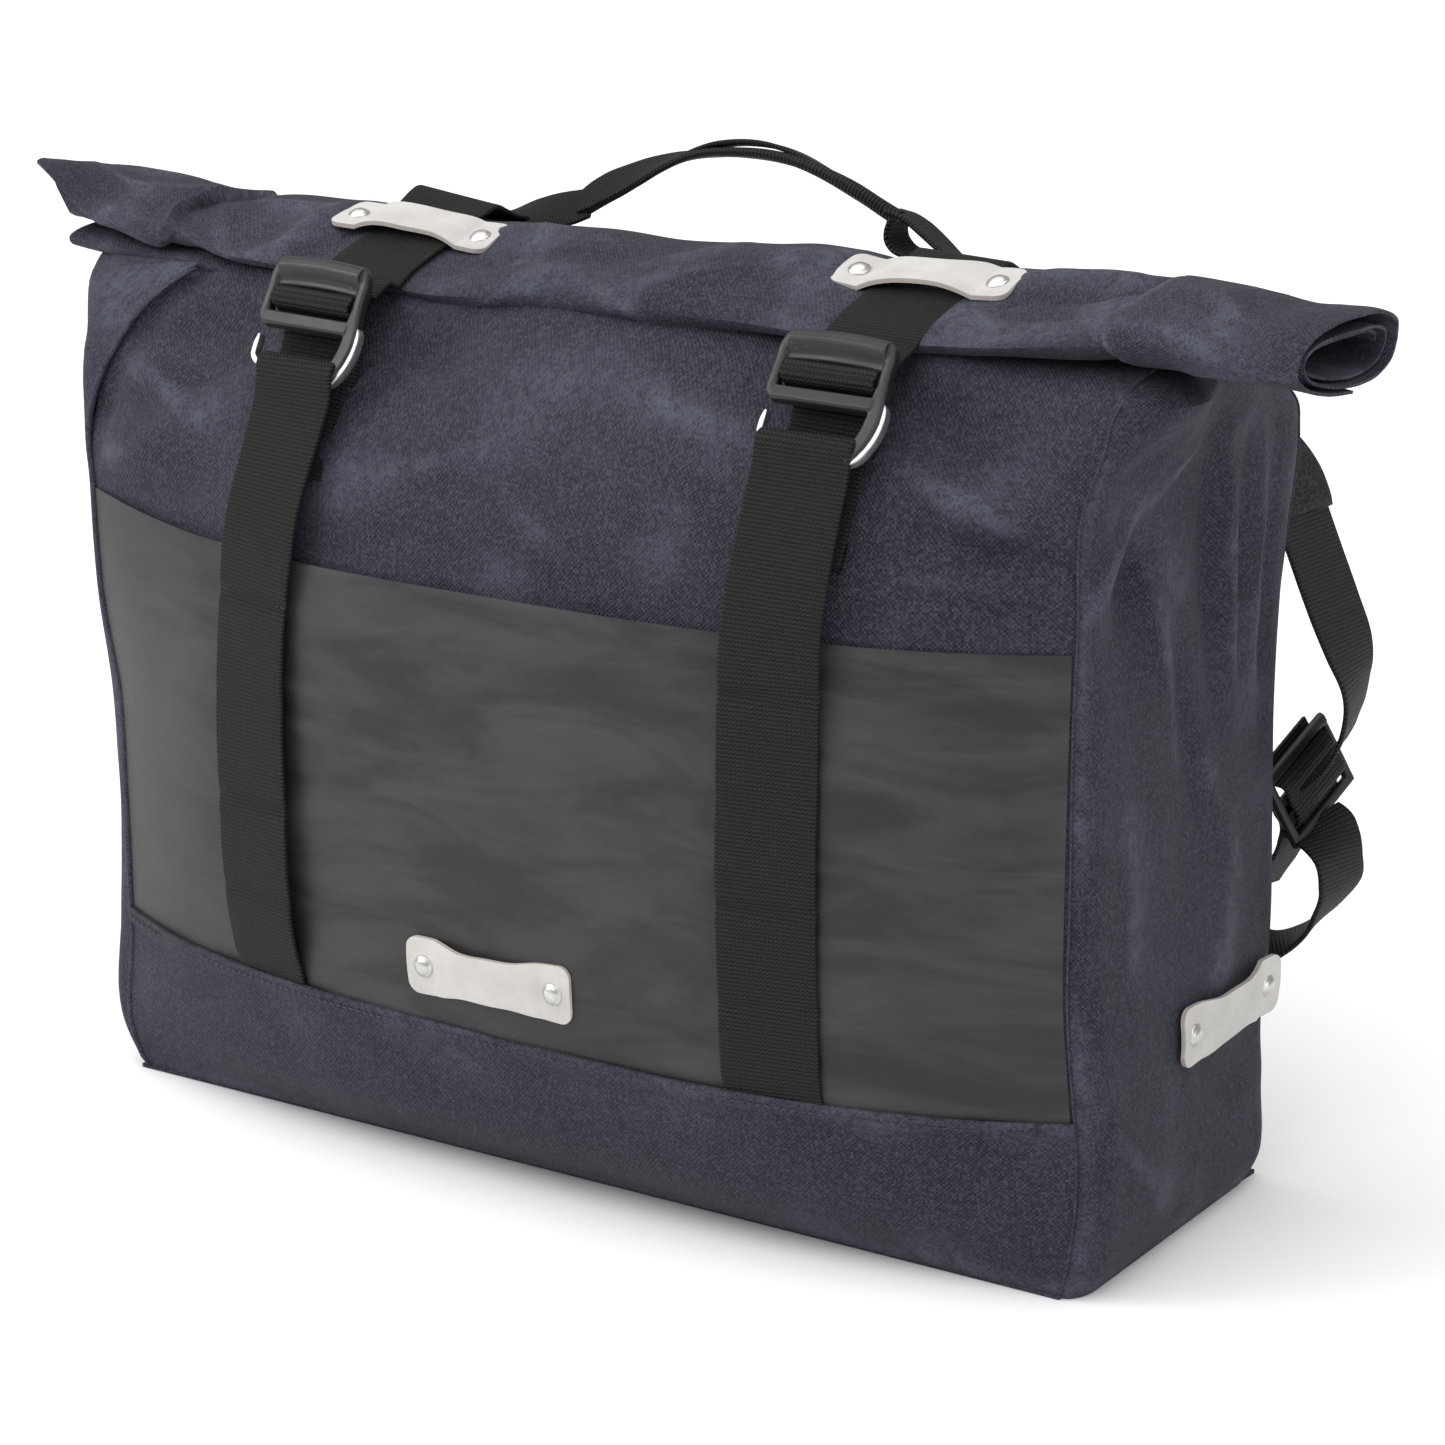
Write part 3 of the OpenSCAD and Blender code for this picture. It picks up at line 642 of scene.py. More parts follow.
def front_canvas():
    s, v = grid_of(np.linspace(-1, 1, 160), np.linspace(SEAM_Z - 3, TOP_Z + TUCK, 112))
    past = np.maximum(v - TURN_Z, 0)
    z = np.minimum(v, TURN_Z)
    points = front_point(s, z)
    u = points[..., 0]
    normal = front_normal(u, z)
    # Above the last of the seam the cloth turns in and up under the roll
    points[..., 1] += 0.95 * past
    points[..., 2] += 13 * (1 - np.exp(-past / 15))
    edge = 1 - np.abs(s) ** 10
    above = ramp(MOUTH_Z - 25, MOUTH_Z + 25, z)
    relief = canvas_relief(u, v, 11) * edge * (0.35 + 0.65 * above)
    folds = [
        # start (x, z), end, width, depth, wear
        ((-218, 262), (-150, 287), 8, -4.4, 0.2),
        ((-212, 246), (-168, 262), 9, 3.0, 0.6),
        ((-196, 296), (-120, 300), 8, -4.4, 0.1),
        ((-205, 284), (-150, 268), 7, 3.0, 0.7),
        ((-190, 240), (-140, 252), 7, -2.0, 0.0),
        ((-90, 306), (-40, 300), 10, -4.5, 0.1),
        ((-62, 292), (40, 304), 14, 3.0, 0.2),
        ((-84, 288), (-20, 284), 7, -2.0, 0.0),
        ((60, 312), (118, 306), 12, -4.0, 0.1),
        ((96, 313), (208, 306), 12, -5.0, 0.0),
        ((140, 303), (205, 288), 9, -5.6, 0.1),
        ((-20, 270), (40, 240), 9, 1.4, 0.5),
        ((30, 300), (90, 292), 9, 2.0, 0.5),
        ((-70, 262), (-20, 276), 8, 1.8, 0.5),
        ((132, 294), (202, 268), 8, 3.6, 0.7),
        ((158, 270), (210, 262), 6, -4.6, 0.1),
        ((150, 256), (204, 252), 6, 2.6, 0.6),
        ((130, 262), (196, 242), 7, -2.2, 0.1),
        ((70, 284), (100, 262), 7, -2.0, 0.1),
        ((-60, 250), (70, 256), 16, 1.0, 0.2),
        ((20, 282), (84, 262), 10, 1.2, 0.5),
    ]
    wear = 0.25 + 0.3 * waves(u, v, 60, 5)
    relief, wear = add_folds(relief, wear, u, v, folds, 1.3, 0.9)
    behind = 3.2 * (1 - ramp(MOUTH_Z + 1, MOUTH_Z + 22, z)) * (1 - np.abs(s) ** 6)
    # Beside the left seam the front is drawn in under the standing fold
    seam_x = front_seam(-1, z)[0]
    drawn = 3.0 * np.exp(-(((u - seam_x - 7) / 6) ** 2)) * ramp(236, 268, z)
    points = points + normal * (relief - behind - drawn)[..., None]
    canvas_piece("front_panel_cloth", points, u, v, wear, ["front_panel"])


def rubber_pocket():
    rows = 60
    s, t = grid_of(np.linspace(-1, 1, 150), np.linspace(0, 1, rows))
    mouth = MOUTH_Z - 4.5 * (1 - np.abs(s) ** 2.2) + 1.2 * np.sin(3.1 * s + 0.6)
    z = SEAM_Z - 2 + (mouth - SEAM_Z + 2) * t
    points = front_point(s * 0.994, z)
    normal = front_normal(points[..., 0], z)
    u = points[..., 0]
    relief = 0.55 * waves(u, z, 120, 21) + 0.18 * waves(u, z, 45, 22)
    relief = relief + 0.9 * ramp(MOUTH_Z - 40, MOUTH_Z, z) * np.sin(u / 27.0) * (1 - np.abs(s) ** 6)
    for side in (-1, 1):
        # The straps press the rubber in
        relief = relief - 1.2 * np.exp(-(((u - side * STRAP_X) / 26) ** 4))
    points = points + normal * (relief * (1 - np.abs(s) ** 8) + 0.6)[..., None]
    sheet_piece("pocket_sheet", points, u, z, 1.6, RUBBER, slot="pocket_rubber", stands_for=["front_pocket"])


def base_strip():
    s, z = grid_of(np.linspace(-1, 1, 150), np.linspace(0, SEAM_Z + 2.5, 30))
    points = front_point(s, z)
    normal = front_normal(points[..., 0], z)
    u = points[..., 0]
    relief = canvas_relief(u, z, 31) * 0.7 * ramp(0, 18, z)
    hem = 1.5 * ramp(SEAM_Z - 5, SEAM_Z - 3.2, z)
    points = points + normal * (relief * (1 - np.abs(s) ** 8) + hem + 0.7)[..., None]
    points[..., 2] = np.maximum(points[..., 2], 0.2)
    wear = 0.25 + 0.25 * waves(u, z, 50, 33) + 0.55 * np.exp(-((z - 4) / 5) ** 2) + 0.3 * ramp(60, 66, z)
    canvas_piece("base_strip_cloth", points, u, z, wear, ["front_base_strip"], 1.4)


def hem_stitches():
    x = np.arange(-HALF_W + 5, HALF_W - 4, 3.3)
    z = np.full_like(x, SEAM_Z - 0.6)
    out = front_normal(x, z)
    along = unit(front_at(x + 1, z) - front_at(x - 1, z))
    stitch_rows("hem_stitches", [(front_at(x, z) + out * 2.75, along, out, 2.5, 0.42)], "waxed_canvas")


def gusset_point(side, s, z):
    """A point of a side's outer face. s is -1 at the front seam and 1 at the back one."""
    fx, fy = front_seam(side, z)
    bx, by = back_seam(side, z)
    share = (s + 1) / 2
    y = fy + (by - fy) * share
    x = fx + (bx - fx) * share
    # The cloth leaves each seam in line with the panel beyond it and turns the corner
    ahead = 1 - np.clip((y - fy) / FRONT_CORNER, 0, 1)
    behind = 1 - np.clip((by - y) / BACK_CORNER, 0, 1)
    turned = np.sqrt(1 - ahead**2) * np.sqrt(1 - behind**2)
    reach = through(ROUND_OUT[side], z)
    # What rounds out further than this near the roll fades towards the back
    usual = 10.5
    reach = np.minimum(reach, usual) + np.maximum(reach - usual, 0) * (1 - share) ** 0.8
    ridge = through(RIDGE_Z, np.clip(y, -73, 75)) - (8 if side < 0 else 0)
    over = np.maximum(z - ridge + 4, 0)
    flare = (0.5 if side > 0 else 0.1) * over * over / (over + 8) * (1 - np.abs(s) ** 3)
    belly = 1.5 * np.sin(math.pi * np.clip(z / 250, 0, 1)) ** 0.8 * (1 - s * s)
    return np.stack([x + side * (turned * reach + flare + belly), y, z + 0 * s], axis=-1)


def gusset_at(side, y, z):
    _, fy = front_seam(side, z)
    _, by = back_seam(side, z)
    return gusset_point(side, np.clip(2 * (y - fy) / (by - fy) - 1, -1, 1), z)


def gusset(side):
    name = NAME[side]
    even = np.linspace(-1, 1, 84)
    s, v = grid_of(even + 0.11 * np.sin(math.pi * even), np.linspace(0, TOP_Z + 20, 118))
    past = np.maximum(v - TURN_Z, 0)
    z = np.minimum(v, TURN_Z)
    points = gusset_point(side, s, z)
    y = points[..., 1]
    points[..., 0] -= side * 0.5 * past * ramp(0, 10, past)
    points[..., 1] += (0.75 * (1 - s) / 2) * past
    points[..., 2] += 12 * (1 - np.exp(-past / 15))
    steps = np.linalg.norm(np.diff(points, axis=1), axis=2)
    around = FRONT + np.concatenate([np.zeros((len(steps), 1)), np.cumsum(steps, axis=1)], axis=1)
    relief = canvas_relief(y, z, 41 + side) * 0.8
    tall = ramp(80, 200, z) * (0.4 + 0.6 * ramp(150, 270, z))
    relief = relief + 0.9 * tall * np.sin(y / 8.5 + 0.02 * z + 1.3 * np.sin(z / 60))
    folds = [
        ((-70, 246), (-36, 276), 7, 3.6, 1.0),
        ((-36, 276), (2, 302), 6, 3.4, 0.9),
        ((-52, 236), (-18, 278), 15, -6.5, 0.0),
        ((-64, 286), (-24, 306), 8, -3.5, 0.0),
        ((8, 296), (20, 190), 8, -3.4, 0.0),
        ((20, 292), (32, 200), 5, 2.6, 0.8),
        ((33, 290), (40, 190), 5, -2.6, 0.0),
        ((46, 292), (50, 200), 5, 2.0, 0.6),
        ((57, 290), (58, 170), 6, -2.4, 0.0),
        ((-30, 262), (-8, 170), 6, 2.0, 0.6),
        ((-14, 250), (6, 150), 7, -2.4, 0.0),
        ((10, 180), (40, 120), 8, 1.6, 0.5),
        ((-60, 60), (-20, 20), 9, 1.8, 0.6),
        ((0, 70), (50, 30), 10, -1.8, 0.0),
        ((-20, 230), (0, 120), 12, -1.6, 0.0),
        ((-48, 190), (-40, 90), 12, 1.4, 0.4),
        ((30, 150), (20, 60), 12, 1.2, 0.3),
    ]
    wear = 0.25 + 0.3 * waves(y, z, 55, 45 + side)
    relief, wear = add_folds(relief, wear, y, z, folds, 1.25, 0.9, 0.45)
    relief = relief * (1 - np.abs(s) ** 6) * ramp(0, 22, z)
    points[..., 0] += side * relief
    points[..., 2] = np.maximum(points[..., 2], 0.2)
    wear = wear + 0.5 * np.exp(-((z - 3) / 5) ** 2) + 0.35 * np.exp(-(((s + 1) / 0.05) ** 2))
    canvas_piece(f"{name}_gusset_cloth", points, around, v, wear, [f"{name}_gusset"], flip=side < 0)


def back_cloth():
    levels = np.concatenate([np.linspace(0, 284, 70), np.linspace(287, TOP_Z, 26)])
    s, z = grid_of(np.linspace(-1, 1, 120), levels)
    lx, by = back_seam(-1, z)
    x = -lx * s
    roof = ramp(290, 312, z)
    relief = canvas_relief(x, z, 51) * (1 - np.abs(s) ** 8)
    sag = 2.2 * np.sin(math.pi * np.clip(z / 280, 0, 1)) * (1 - s * s)
    y = by + (relief + sag) * (1 - roof)
    height = z + relief * roof - 3.5 * roof * (1 - s * s)
    points = np.stack([x, y, np.maximum(height, 0.2)], axis=-1)
    wear = 0.25 + 0.3 * waves(x, z, 60, 53) + 0.5 * np.exp(-((z - 296) / 6) ** 2)
    canvas_piece("back_panel_cloth", points, x, z, wear, ["back_panel"], flip=True)


def bottom_cloth():
    s, t = grid_of(np.linspace(-1, 1, 60), np.linspace(0, 1, 24))
    x = s * (HALF_W - 2)
    y = FRONT + 1.5 + (BACK - FRONT - 2) * t
    points = np.stack([x, y, np.full_like(x, 1.65)], axis=-1)
    canvas_piece("bottom_cloth", points, x, y, np.full_like(x, 0.5), ["bottom_panel"], -1.4, flip=True)


def corner_seams():
    """The turned seam allowance that stands up along each corner of the body."""
    count = 12
    turn = np.linspace(0, 2 * math.pi, count, endpoint=False)
    for side in (-1, 1):
        kinds = (("front", front_seam, 1.5 if side < 0 else 0.55, 318, -1), ("back", back_seam, 1.1, 300, 1))
        for where, seam, radius, top, sign in kinds:
            z = np.linspace(2, top, 110)
            x, y = seam(side, z)
            path = np.stack([x + side * 0.4 + 0.35 * np.sin(z / 19), y + sign * 0.5, z], axis=1)
            ring = np.stack([np.cos(turn), np.sin(turn) * 0.8, 0 * turn], axis=1) * radius
            verts, faces = sweep(path[:, None, :] + ring[None])
            heights = np.repeat(z, count)
            flat = np.stack([np.tile(turn * radius, len(z)), heights, 0 * heights], axis=1)
            make(f"{NAME[side]}_{where}_seam", verts, faces, CANVAS, flat=flat,
                 wear=np.full(len(verts), 0.55), slot="waxed_canvas")


# ---- The rolled top ----

ROLL_TOP_Z = [(-290, 341), (-260, 342), (-235, 340.1), (-205, 338.5), (-185, 341), (-165, 341.3),
              (-125, 341.8), (-88, 340), (-60, 340.8), (-30, 341.2), (0, 340.8), (18, 342.4), (40, 344.4),
              (60, 347.2), (75, 346.5), (92, 344.8), (142, 347.6), (165, 348), (200, 350), (215, 350.4),
              (230, 349.8), (242, 348.2), (258, 346.5), (268, 347), (280, 346.8), (290, 343)]
ROLL_LOW_Z = [(-290, 325), (-250, 324), (-205, 321), (-150, 319), (-115, 316), (-60, 314), (0, 314),
              (45, 316), (80, 320), (115, 319), (165, 324), (227, 326), (262, 323), (290, 319)]
ROLL_FRONT_Y = [(-290, -42), (-200, -49), (-115, -48), (0, -51), (60, -53), (115, -49), (200, -53),
                (262, -50), (290, -42)]
# The roll's section as (turn, depth share, height share): pressed by the straps, loose, and at its left tip
PRESSED = [(0, 1.0, 0.46), (0.06, 0.985, 0.68), (0.12, 0.93, 0.84), (0.18, 0.84, 0.905), (0.23, 0.74, 0.89),
           (0.28, 0.63, 0.80), (0.34, 0.47, 0.655), (0.40, 0.28, 0.52), (0.455, 0.10, 0.36),
           (0.50, 0.0, 0.20), (0.545, 0.05, 0.08), (0.63, 0.24, 0.0), (0.75, 0.54, -0.02), (0.88, 0.86, 0.05),
           (0.95, 0.97, 0.2), (1.0, 1.0, 0.46)]
LOOSE = [(0, 1.0, 0.50), (0.07, 0.965, 0.78), (0.15, 0.84, 0.96), (0.25, 0.60, 1.0), (0.33, 0.38, 0.95),
         (0.41, 0.16, 0.82), (0.465, 0.035, 0.62), (0.50, 0.0, 0.42), (0.545, 0.03, 0.22), (0.63, 0.20, 0.04),
         (0.75, 0.54, -0.02), (0.88, 0.86, 0.05), (0.95, 0.97, 0.24), (1.0, 1.0, 0.50)]
TIP = [(0, 0.62, 0.48), (0.07, 0.61, 0.68), (0.15, 0.56, 0.92), (0.22, 0.47, 1.14), (0.29, 0.35, 1.31),
       (0.345, 0.22, 1.40), (0.39, 0.11, 1.36), (0.44, 0.03, 1.15), (0.49, 0.0, 0.80), (0.545, 0.01, 0.42),
       (0.63, 0.14, 0.06), (0.75, 0.34, -0.06), (0.88, 0.54, 0.05), (0.95, 0.60, 0.26), (1.0, 0.62, 0.48)]


# Length of cloth in one turn of the roll, and how much further in each turn lies
ROLL_ROUND = 152
ROLL_STEP = 3.3


def roll_section(x, angle, inset):
    """A point of the roll's cloth at a place along it, an angle round it and a depth inside it."""
    top = through(ROLL_TOP_Z, x)
    low = through(ROLL_LOW_Z, x)
    front = through(ROLL_FRONT_Y, x)
    back = ROLL_Y + ROLL_HALF_D + 0 * x
    turn = (angle / (2 * math.pi)) % 1.0
    loose = np.clip(ramp(150, 235, np.abs(x)) + 0.75 * np.exp(-((x / 62) ** 4)), 0, 1)
    tip = ramp(-236, -272, x)
    depth, height = (
        (1 - tip) * (1 - loose) * through([(a, row[k]) for a, *row in PRESSED], turn)
        + (1 - tip) * loose * through([(a, row[k]) for a, *row in LOOSE], turn)
        + tip * through([(a, row[k]) for a, *row in TIP], turn)
        for k in (0, 1)
    )
    y = front + (back - front) * depth
    z = low + (top - low) * height
    middle_y = front + (back - front) * (0.52 - 0.22 * tip)
    middle_z = low + (top - low) * (0.42 + 0.26 * tip)
    # The pressed layers lie closer together in height than in depth
    y = middle_y + (y - middle_y) * (1 - inset / ((back - front) / 2))
    z = middle_z + (z - middle_z) * np.maximum(1 - 0.62 * inset / ((top - low) / 2), 0.1)
    return y, z


def roll_relief(x, v):
    """Height and rubbed wax of the roll's creases. v runs from the outer edge up the front."""
    broad = 1.5 * waves(x * 0.8, v, 110, 61) + 0.9 * waves(x, v, 44, 62)
    ridged = np.clip(1 - np.abs(waves(x * 0.55, v, 60, 63)), 0, 1) ** 3
    height = broad + 1.3 * ridged
    wear = 0.26 + 0.28 * waves(x, v, 50, 64) + 0.5 * ridged
    for side in (-1, 1):
        near = np.exp(-(((x - side * STRAP_X) / 32) ** 4))
        height = height * (1 - near)
        # Puckers that run out from under each strap
        puckers = ((46, 2.4, 56), (-44, 2.2, 50), (60, -2.4, 38), (-56, -2.2, 30), (50, 1.8, 22))
        for reach, depth, level in puckers:
            start = (side * STRAP_X + reach * 0.5, level)
            end = (side * STRAP_X + reach * 1.7, level + 9)
            line = crease(x, v, start, end, 7)
            height = height + depth * line * (1 - near)
            wear = wear + 0.5 * line * (depth > 0)
    folds = [
        ((-204, 50), (-170, 22), 6, 2.2, 0.5),
        ((-156, 56), (-148, 20), 6, 2.6, 0.6),
        ((-137, 52), (-136, 22), 6, -2.4, 0.0),
        ((-262, 40), (-214, 30), 7, 2.0, 0.4),
        ((-250, 56), (-215, 62), 7, 2.0, 0.5),
        ((0, 30), (56, 52), 9, 2.2, 0.5),
        ((-70, 50), (0, 58), 9, 1.8, 0.5),
        ((-50, 22), (10, 30), 8, -2.0, 0.0),
        ((150, 60), (205, 66), 7, 2.4, 0.5),
        ((160, 40), (200, 34), 9, -2.2, 0.0),
        ((214, 62), (262, 50), 9, 2.2, 0.4),
    ]
    height, wear = add_folds(height, wear, x, v, folds)
    # The gussets' seams run round the roll: the end's cloth stands up over them and falls away past them
    for middle, tall, way in ((-205, 2.9, 1), (207, 1.7, -1)):
        beyond = way * (x - middle - 4.5 * np.sin(v / 9.5 + 0.6) - 0.10 * (v - 30) * way)
        ridge = np.where(beyond < 0, np.exp(-((beyond / 15) ** 2)), np.exp(-((beyond / 1.2) ** 2)))
        step = np.where(beyond < 0, 0, np.exp(-((beyond / 15) ** 2))) * (1 - np.exp(-((beyond / 1.2) ** 2)))
        height = height + tall * ridge - 0.9 * tall * step
        wear = wear + 0.7 * np.exp(-((beyond / 2.2) ** 2))
    # Nearer the ridge the cloth is pulled smooth
    height = height * (1 - 0.6 * ramp(56, 74, v))
    return height, wear


def roll_top():
    turns = 2.7
    cols = int(turns * 60)
    e, t = grid_of(np.linspace(-1, 1, 400), np.linspace(0, turns, cols))
    # The outer turn comes over the top and down the front. Near the left end its edge runs up at a slant
    rough_x = np.where(e < 0, e * 285, e * 283)
    rise = through([(190, 0), (205, 0.25), (220, 0.38), (236, 0.42), (253, 0.50), (265, 0.62), (275, 0.80),
                    (281, 0.96), (286, 1.12)], -rough_x)
    edge = 0.655 - 0.25 * rise * np.clip(1 - t / 0.9, 0, 1) + 0.07 * ramp(190, 275, rough_x)
    turn = (edge - t) % 1.0
    angle = 2 * math.pi * turn
    # Each layer of the left end stops at its own place, the front's top furthest out as a horn
    left = through([(0, 282), (0.1, 284), (0.2, 285), (0.28, 284), (0.34, 279), (0.40, 275), (0.46, 271),
                    (0.5, 267), (0.6, 262), (0.75, 264), (0.9, 274), (1.0, 282)], turn)
    facing = np.exp(-(((turn - 0.42) / 0.16) ** 4))
    left = left - 3.0 * np.clip(t - 0.7, 0, 3) + 1.4 * np.sin(angle * 3.0 + 1.0)
    left = left - 7.0 * facing * ramp(0.7, 0.95, t)
    right = 280 - 5 * np.clip(-np.cos(angle), 0, 1) ** 1.4
    right = right - 2.5 * np.clip(t - 1.0, 0, 2) + 1.2 * np.sin(angle * 2.0)
    ends = np.abs(e) ** 1.02
    x = np.where(e < 0, -left * ends, right * ends)
    opened = ramp(225, 285, x) * 2.6 * ramp(0.7, 1.1, t)
    inset = ROLL_STEP * t + opened + 1.0 * np.sin(t * 7 + x / 60) * ramp(0.9, 1.2, t)
    y, z = roll_section(x, angle, inset)
    v = t * ROLL_ROUND
    height, wear = roll_relief(x, v)
    outer = (1 - 0.75 * ramp(0.85, 1.1, t)) * (1 - 0.6 * ramp(-250, -285, x))
    y = y + np.cos(angle) * height * outer
    z = z + np.sin(angle) * height * outer
    # The slanted edge is the end of a doubled hem
    wear = wear + 0.5 * np.exp(-((v / 3.0) ** 2))
    canvas_piece("roll_cloth", np.stack([x, y, z], axis=-1), x, v, wear, ["roll_top"])


def roll_hem():
    """The roll's first turn, whose folded edge shows below the front of the roll on the left."""
    e, t = grid_of(np.linspace(0, 1, 120), np.linspace(0, 1, 40))
    x = -254 + 330 * e
    out = through([(-254, -44), (-200, -48), (-115, -45), (-40, -46), (76, -42)], x)
    middle = through([(-254, 321.5), (-200, 319), (-120, 315), (-40, 313), (76, 314)], x)
    thick = through([(-254, 3.4), (-200, 3.4), (-110, 2.6), (76, 1.2)], x)
    # Its upper side reaches back under the roll
    y = out + 3.6 - 3.6 * np.sin(math.pi * (t * 0.9 + 0.05)) ** 0.8
    y = y + np.where(t < 0.5, 88, 24) * np.abs(t - 0.5) ** 2
    z = middle + thick * np.cos(math.pi * t) * 1.2
    relief = waves(x, t * 30, 60, 71)
    points = np.stack([x, y + 0.5 * relief, z + 0.6 * relief], axis=-1)
    canvas_piece("roll_hem", points[::-1], x, t * 24, 0.35 + 0.3 * waves(x, t * 20, 40, 72))


front_canvas()
rubber_pocket()
base_strip()
gusset(-1)
gusset(1)
back_cloth()
bottom_cloth()
corner_seams()
roll_top()
roll_hem()


# ---- Closure straps ----

# The outer face of each front strap, as (height, y), along its edge nearer the middle and its outer edge
FRONT_STRAP = {
    -1: ([(64, -108), (86, -115.5), (111, -118.6), (141, -119), (179, -118.5), (201, -117.6), (231, -115),
          (252, -111), (272, -102), (290, -93.5)],
         [(65, -103.6), (89, -109.8), (114, -112.8), (141, -113.4), (172, -113), (194, -111.5), (213, -110.6),
          (235, -110), (246, -108), (263, -102), (281, -95), (290, -92.6)]),
    1: ([(64, -112), (90, -114), (116, -116), (146, -117.5), (203, -118), (224, -117), (235, -115.6),
         (251, -111), (270, -103.5), (290, -94.6)],
        [(65, -107.6), (92, -108.5), (143, -110), (179, -110.5), (214, -110.5), (235, -110), (249, -107),
         (268, -101), (290, -92.6)]),
}
# Heights of the stitch rows across each front strap
BAR_STITCHES = (213.5, 176, 138, 103)
LOOP_STITCHES = (262.5, 259.5)
# How far the left strap bends towards the middle at each height
LEFT_DRIFT = [(60, 1.5), (120, 1.6), (208, 1.9), (235, 4.1), (262, 6.3), (290, 7.4), (310, 6.4), (340, 4.5),
              (400, 4.5)]


def strap_x(side, z):
    """Middle of a closure strap. The left one is sewn a little off square."""
    return side * STRAP_X + (through(LEFT_DRIFT, z) if side < 0 else 0 * np.asarray(z, float))


def top_strap_x(side):
    """Middle of a top strap, its keeper and its buckle."""
    return float(strap_x(side, 340.0))


def strap_middle(side, z):
    """Middle of a front strap's thickness at each height, and the direction of its width."""
    near, far = FRONT_STRAP[side]
    x = strap_x(side, z)
    y_near = np.minimum(through(near, z), front_at(x - side * WEB_W / 2, z)[:, 1] - WEB_T - 0.9)
    y_far = np.minimum(through(far, z), front_at(x + side * WEB_W / 2, z)[:, 1] - WEB_T - 0.9)
    y = (y_near + y_far) / 2 + WEB_T / 2
    across = np.stack([np.full_like(z, WEB_W), (y_far - y_near) * side, 0 * z], axis=-1)
    return np.stack([x, y, z], axis=-1), across


def stitch_rows(name, rows, slot):
    """Short thread stitches. Each row is (points, directions, outs, length, radius)."""
    turns = np.linspace(0, 2 * math.pi, 6, endpoint=False)
    parts = []
    for points, along, out, length, radius in rows:
        for p, a, o in zip(points, along, out):
            ring = [math.cos(q) * np.cross(a, o) + math.sin(q) * o for q in turns]
            parts.append(sweep(np.array([
                [p + a * shift * length + radius * wide * spoke for spoke in ring]
                for shift, wide in ((-0.5, 0.25), (-0.3, 0.9), (0, 1.05), (0.3, 0.9), (0.5, 0.25))
            ])))
    verts, faces = joined(parts)
    make(name, verts, faces, THREAD, slot=slot)


def web_piece(name, path, across, width=WEB_W, thickness=WEB_T, **facts):
    verts, faces, flat = band(path, across, width, thickness)
    make(name, verts, faces, WEBBING, flat=flat, slot="black_webbing", **facts)


def front_strap(side):
    name = NAME[side]
    z = np.linspace(65.6, 289, 150)
    run, across = strap_middle(side, z)
    pull = sum(np.exp(-(((z - row) / 2.2) ** 2)) for row in BAR_STITCHES)
    run[:, 1] += 0.75 * pull + 1.6 * (1 - ramp(65, 74, z))
    turn = np.linspace(math.pi, 0, 14)
    r = 4.1
    top_x = float(strap_x(side, 295.0))
    crown = np.stack([0 * turn + top_x, HOOK[1] + r * np.cos(turn), HOOK[2] + r * np.sin(turn)], axis=1)
    down_behind = ((-85, 288), (-88.2, 280), (-93, 270), (-97, 262), (-99, 258))
    behind = np.array([[top_x, y, h] for y, h in down_behind])
    rough = np.concatenate([run[::3], crown, behind])
    count = 260
    path = polyline_place(rough, count)
    lean = (across[:, 1] / WEB_W)[::3]
    leans = np.concatenate([lean, np.full(len(turn) + len(behind), lean[-1])])
    places = np.concatenate([[0], np.cumsum(np.linalg.norm(np.diff(rough, axis=0), axis=1))])
    lean_at = np.interp(np.linspace(0, places[-1], count), places, leans)
    across = np.stack([np.ones(count), lean_at, np.zeros(count)], axis=1)
    width = WEB_W - (2.2 if side < 0 else 0.0)
    web_piece(f"{name}_front_webbing", path, across, width, stands_for=[f"{name}_front_strap"])
    # The bars over the pocket pull the webbing in. The two rows above them close its folded loop
    rows = []
    stitches = 12
    offsets = np.linspace(-WEB_W / 2 + 2.8, WEB_W / 2 - 2.8, stitches)
    for row in (*BAR_STITCHES, *LOOP_STITCHES):
        middle, wide = strap_middle(side, np.array([float(row)]))
        wide = unit(wide)[0]
        out = np.cross(wide, [0, 0, 1])
        points = middle[0] + np.outer(offsets, wide) + out * (WEB_T / 2 - 0.55)
        if row in BAR_STITCHES:
            points[:, 1] += 0.55
        rows.append((points, [wide] * stitches, [out] * stitches, 2.3, 0.42))
    stitch_rows(f"{name}_bar_stitches", rows, "black_webbing")


# Middle of each top strap's thickness as (y, height), where it is folded up behind its keeper
STRAP_CREST = {
    -1: [(34, 333), (24, 337), (17.5, 340.6), (13.4, 342.8), (11.4, 343.3), (8, 342.6), (2, 340.4),
         (-6, 337.4)],
    1: [(34, 334), (24, 338), (17.5, 341.8), (13.4, 343.9), (11.4, 344.4), (8, 343.8), (2, 342.2),
        (-6, 339.9)],
}
CREST_TILT = {-1: 0.11, 1: 0.03}


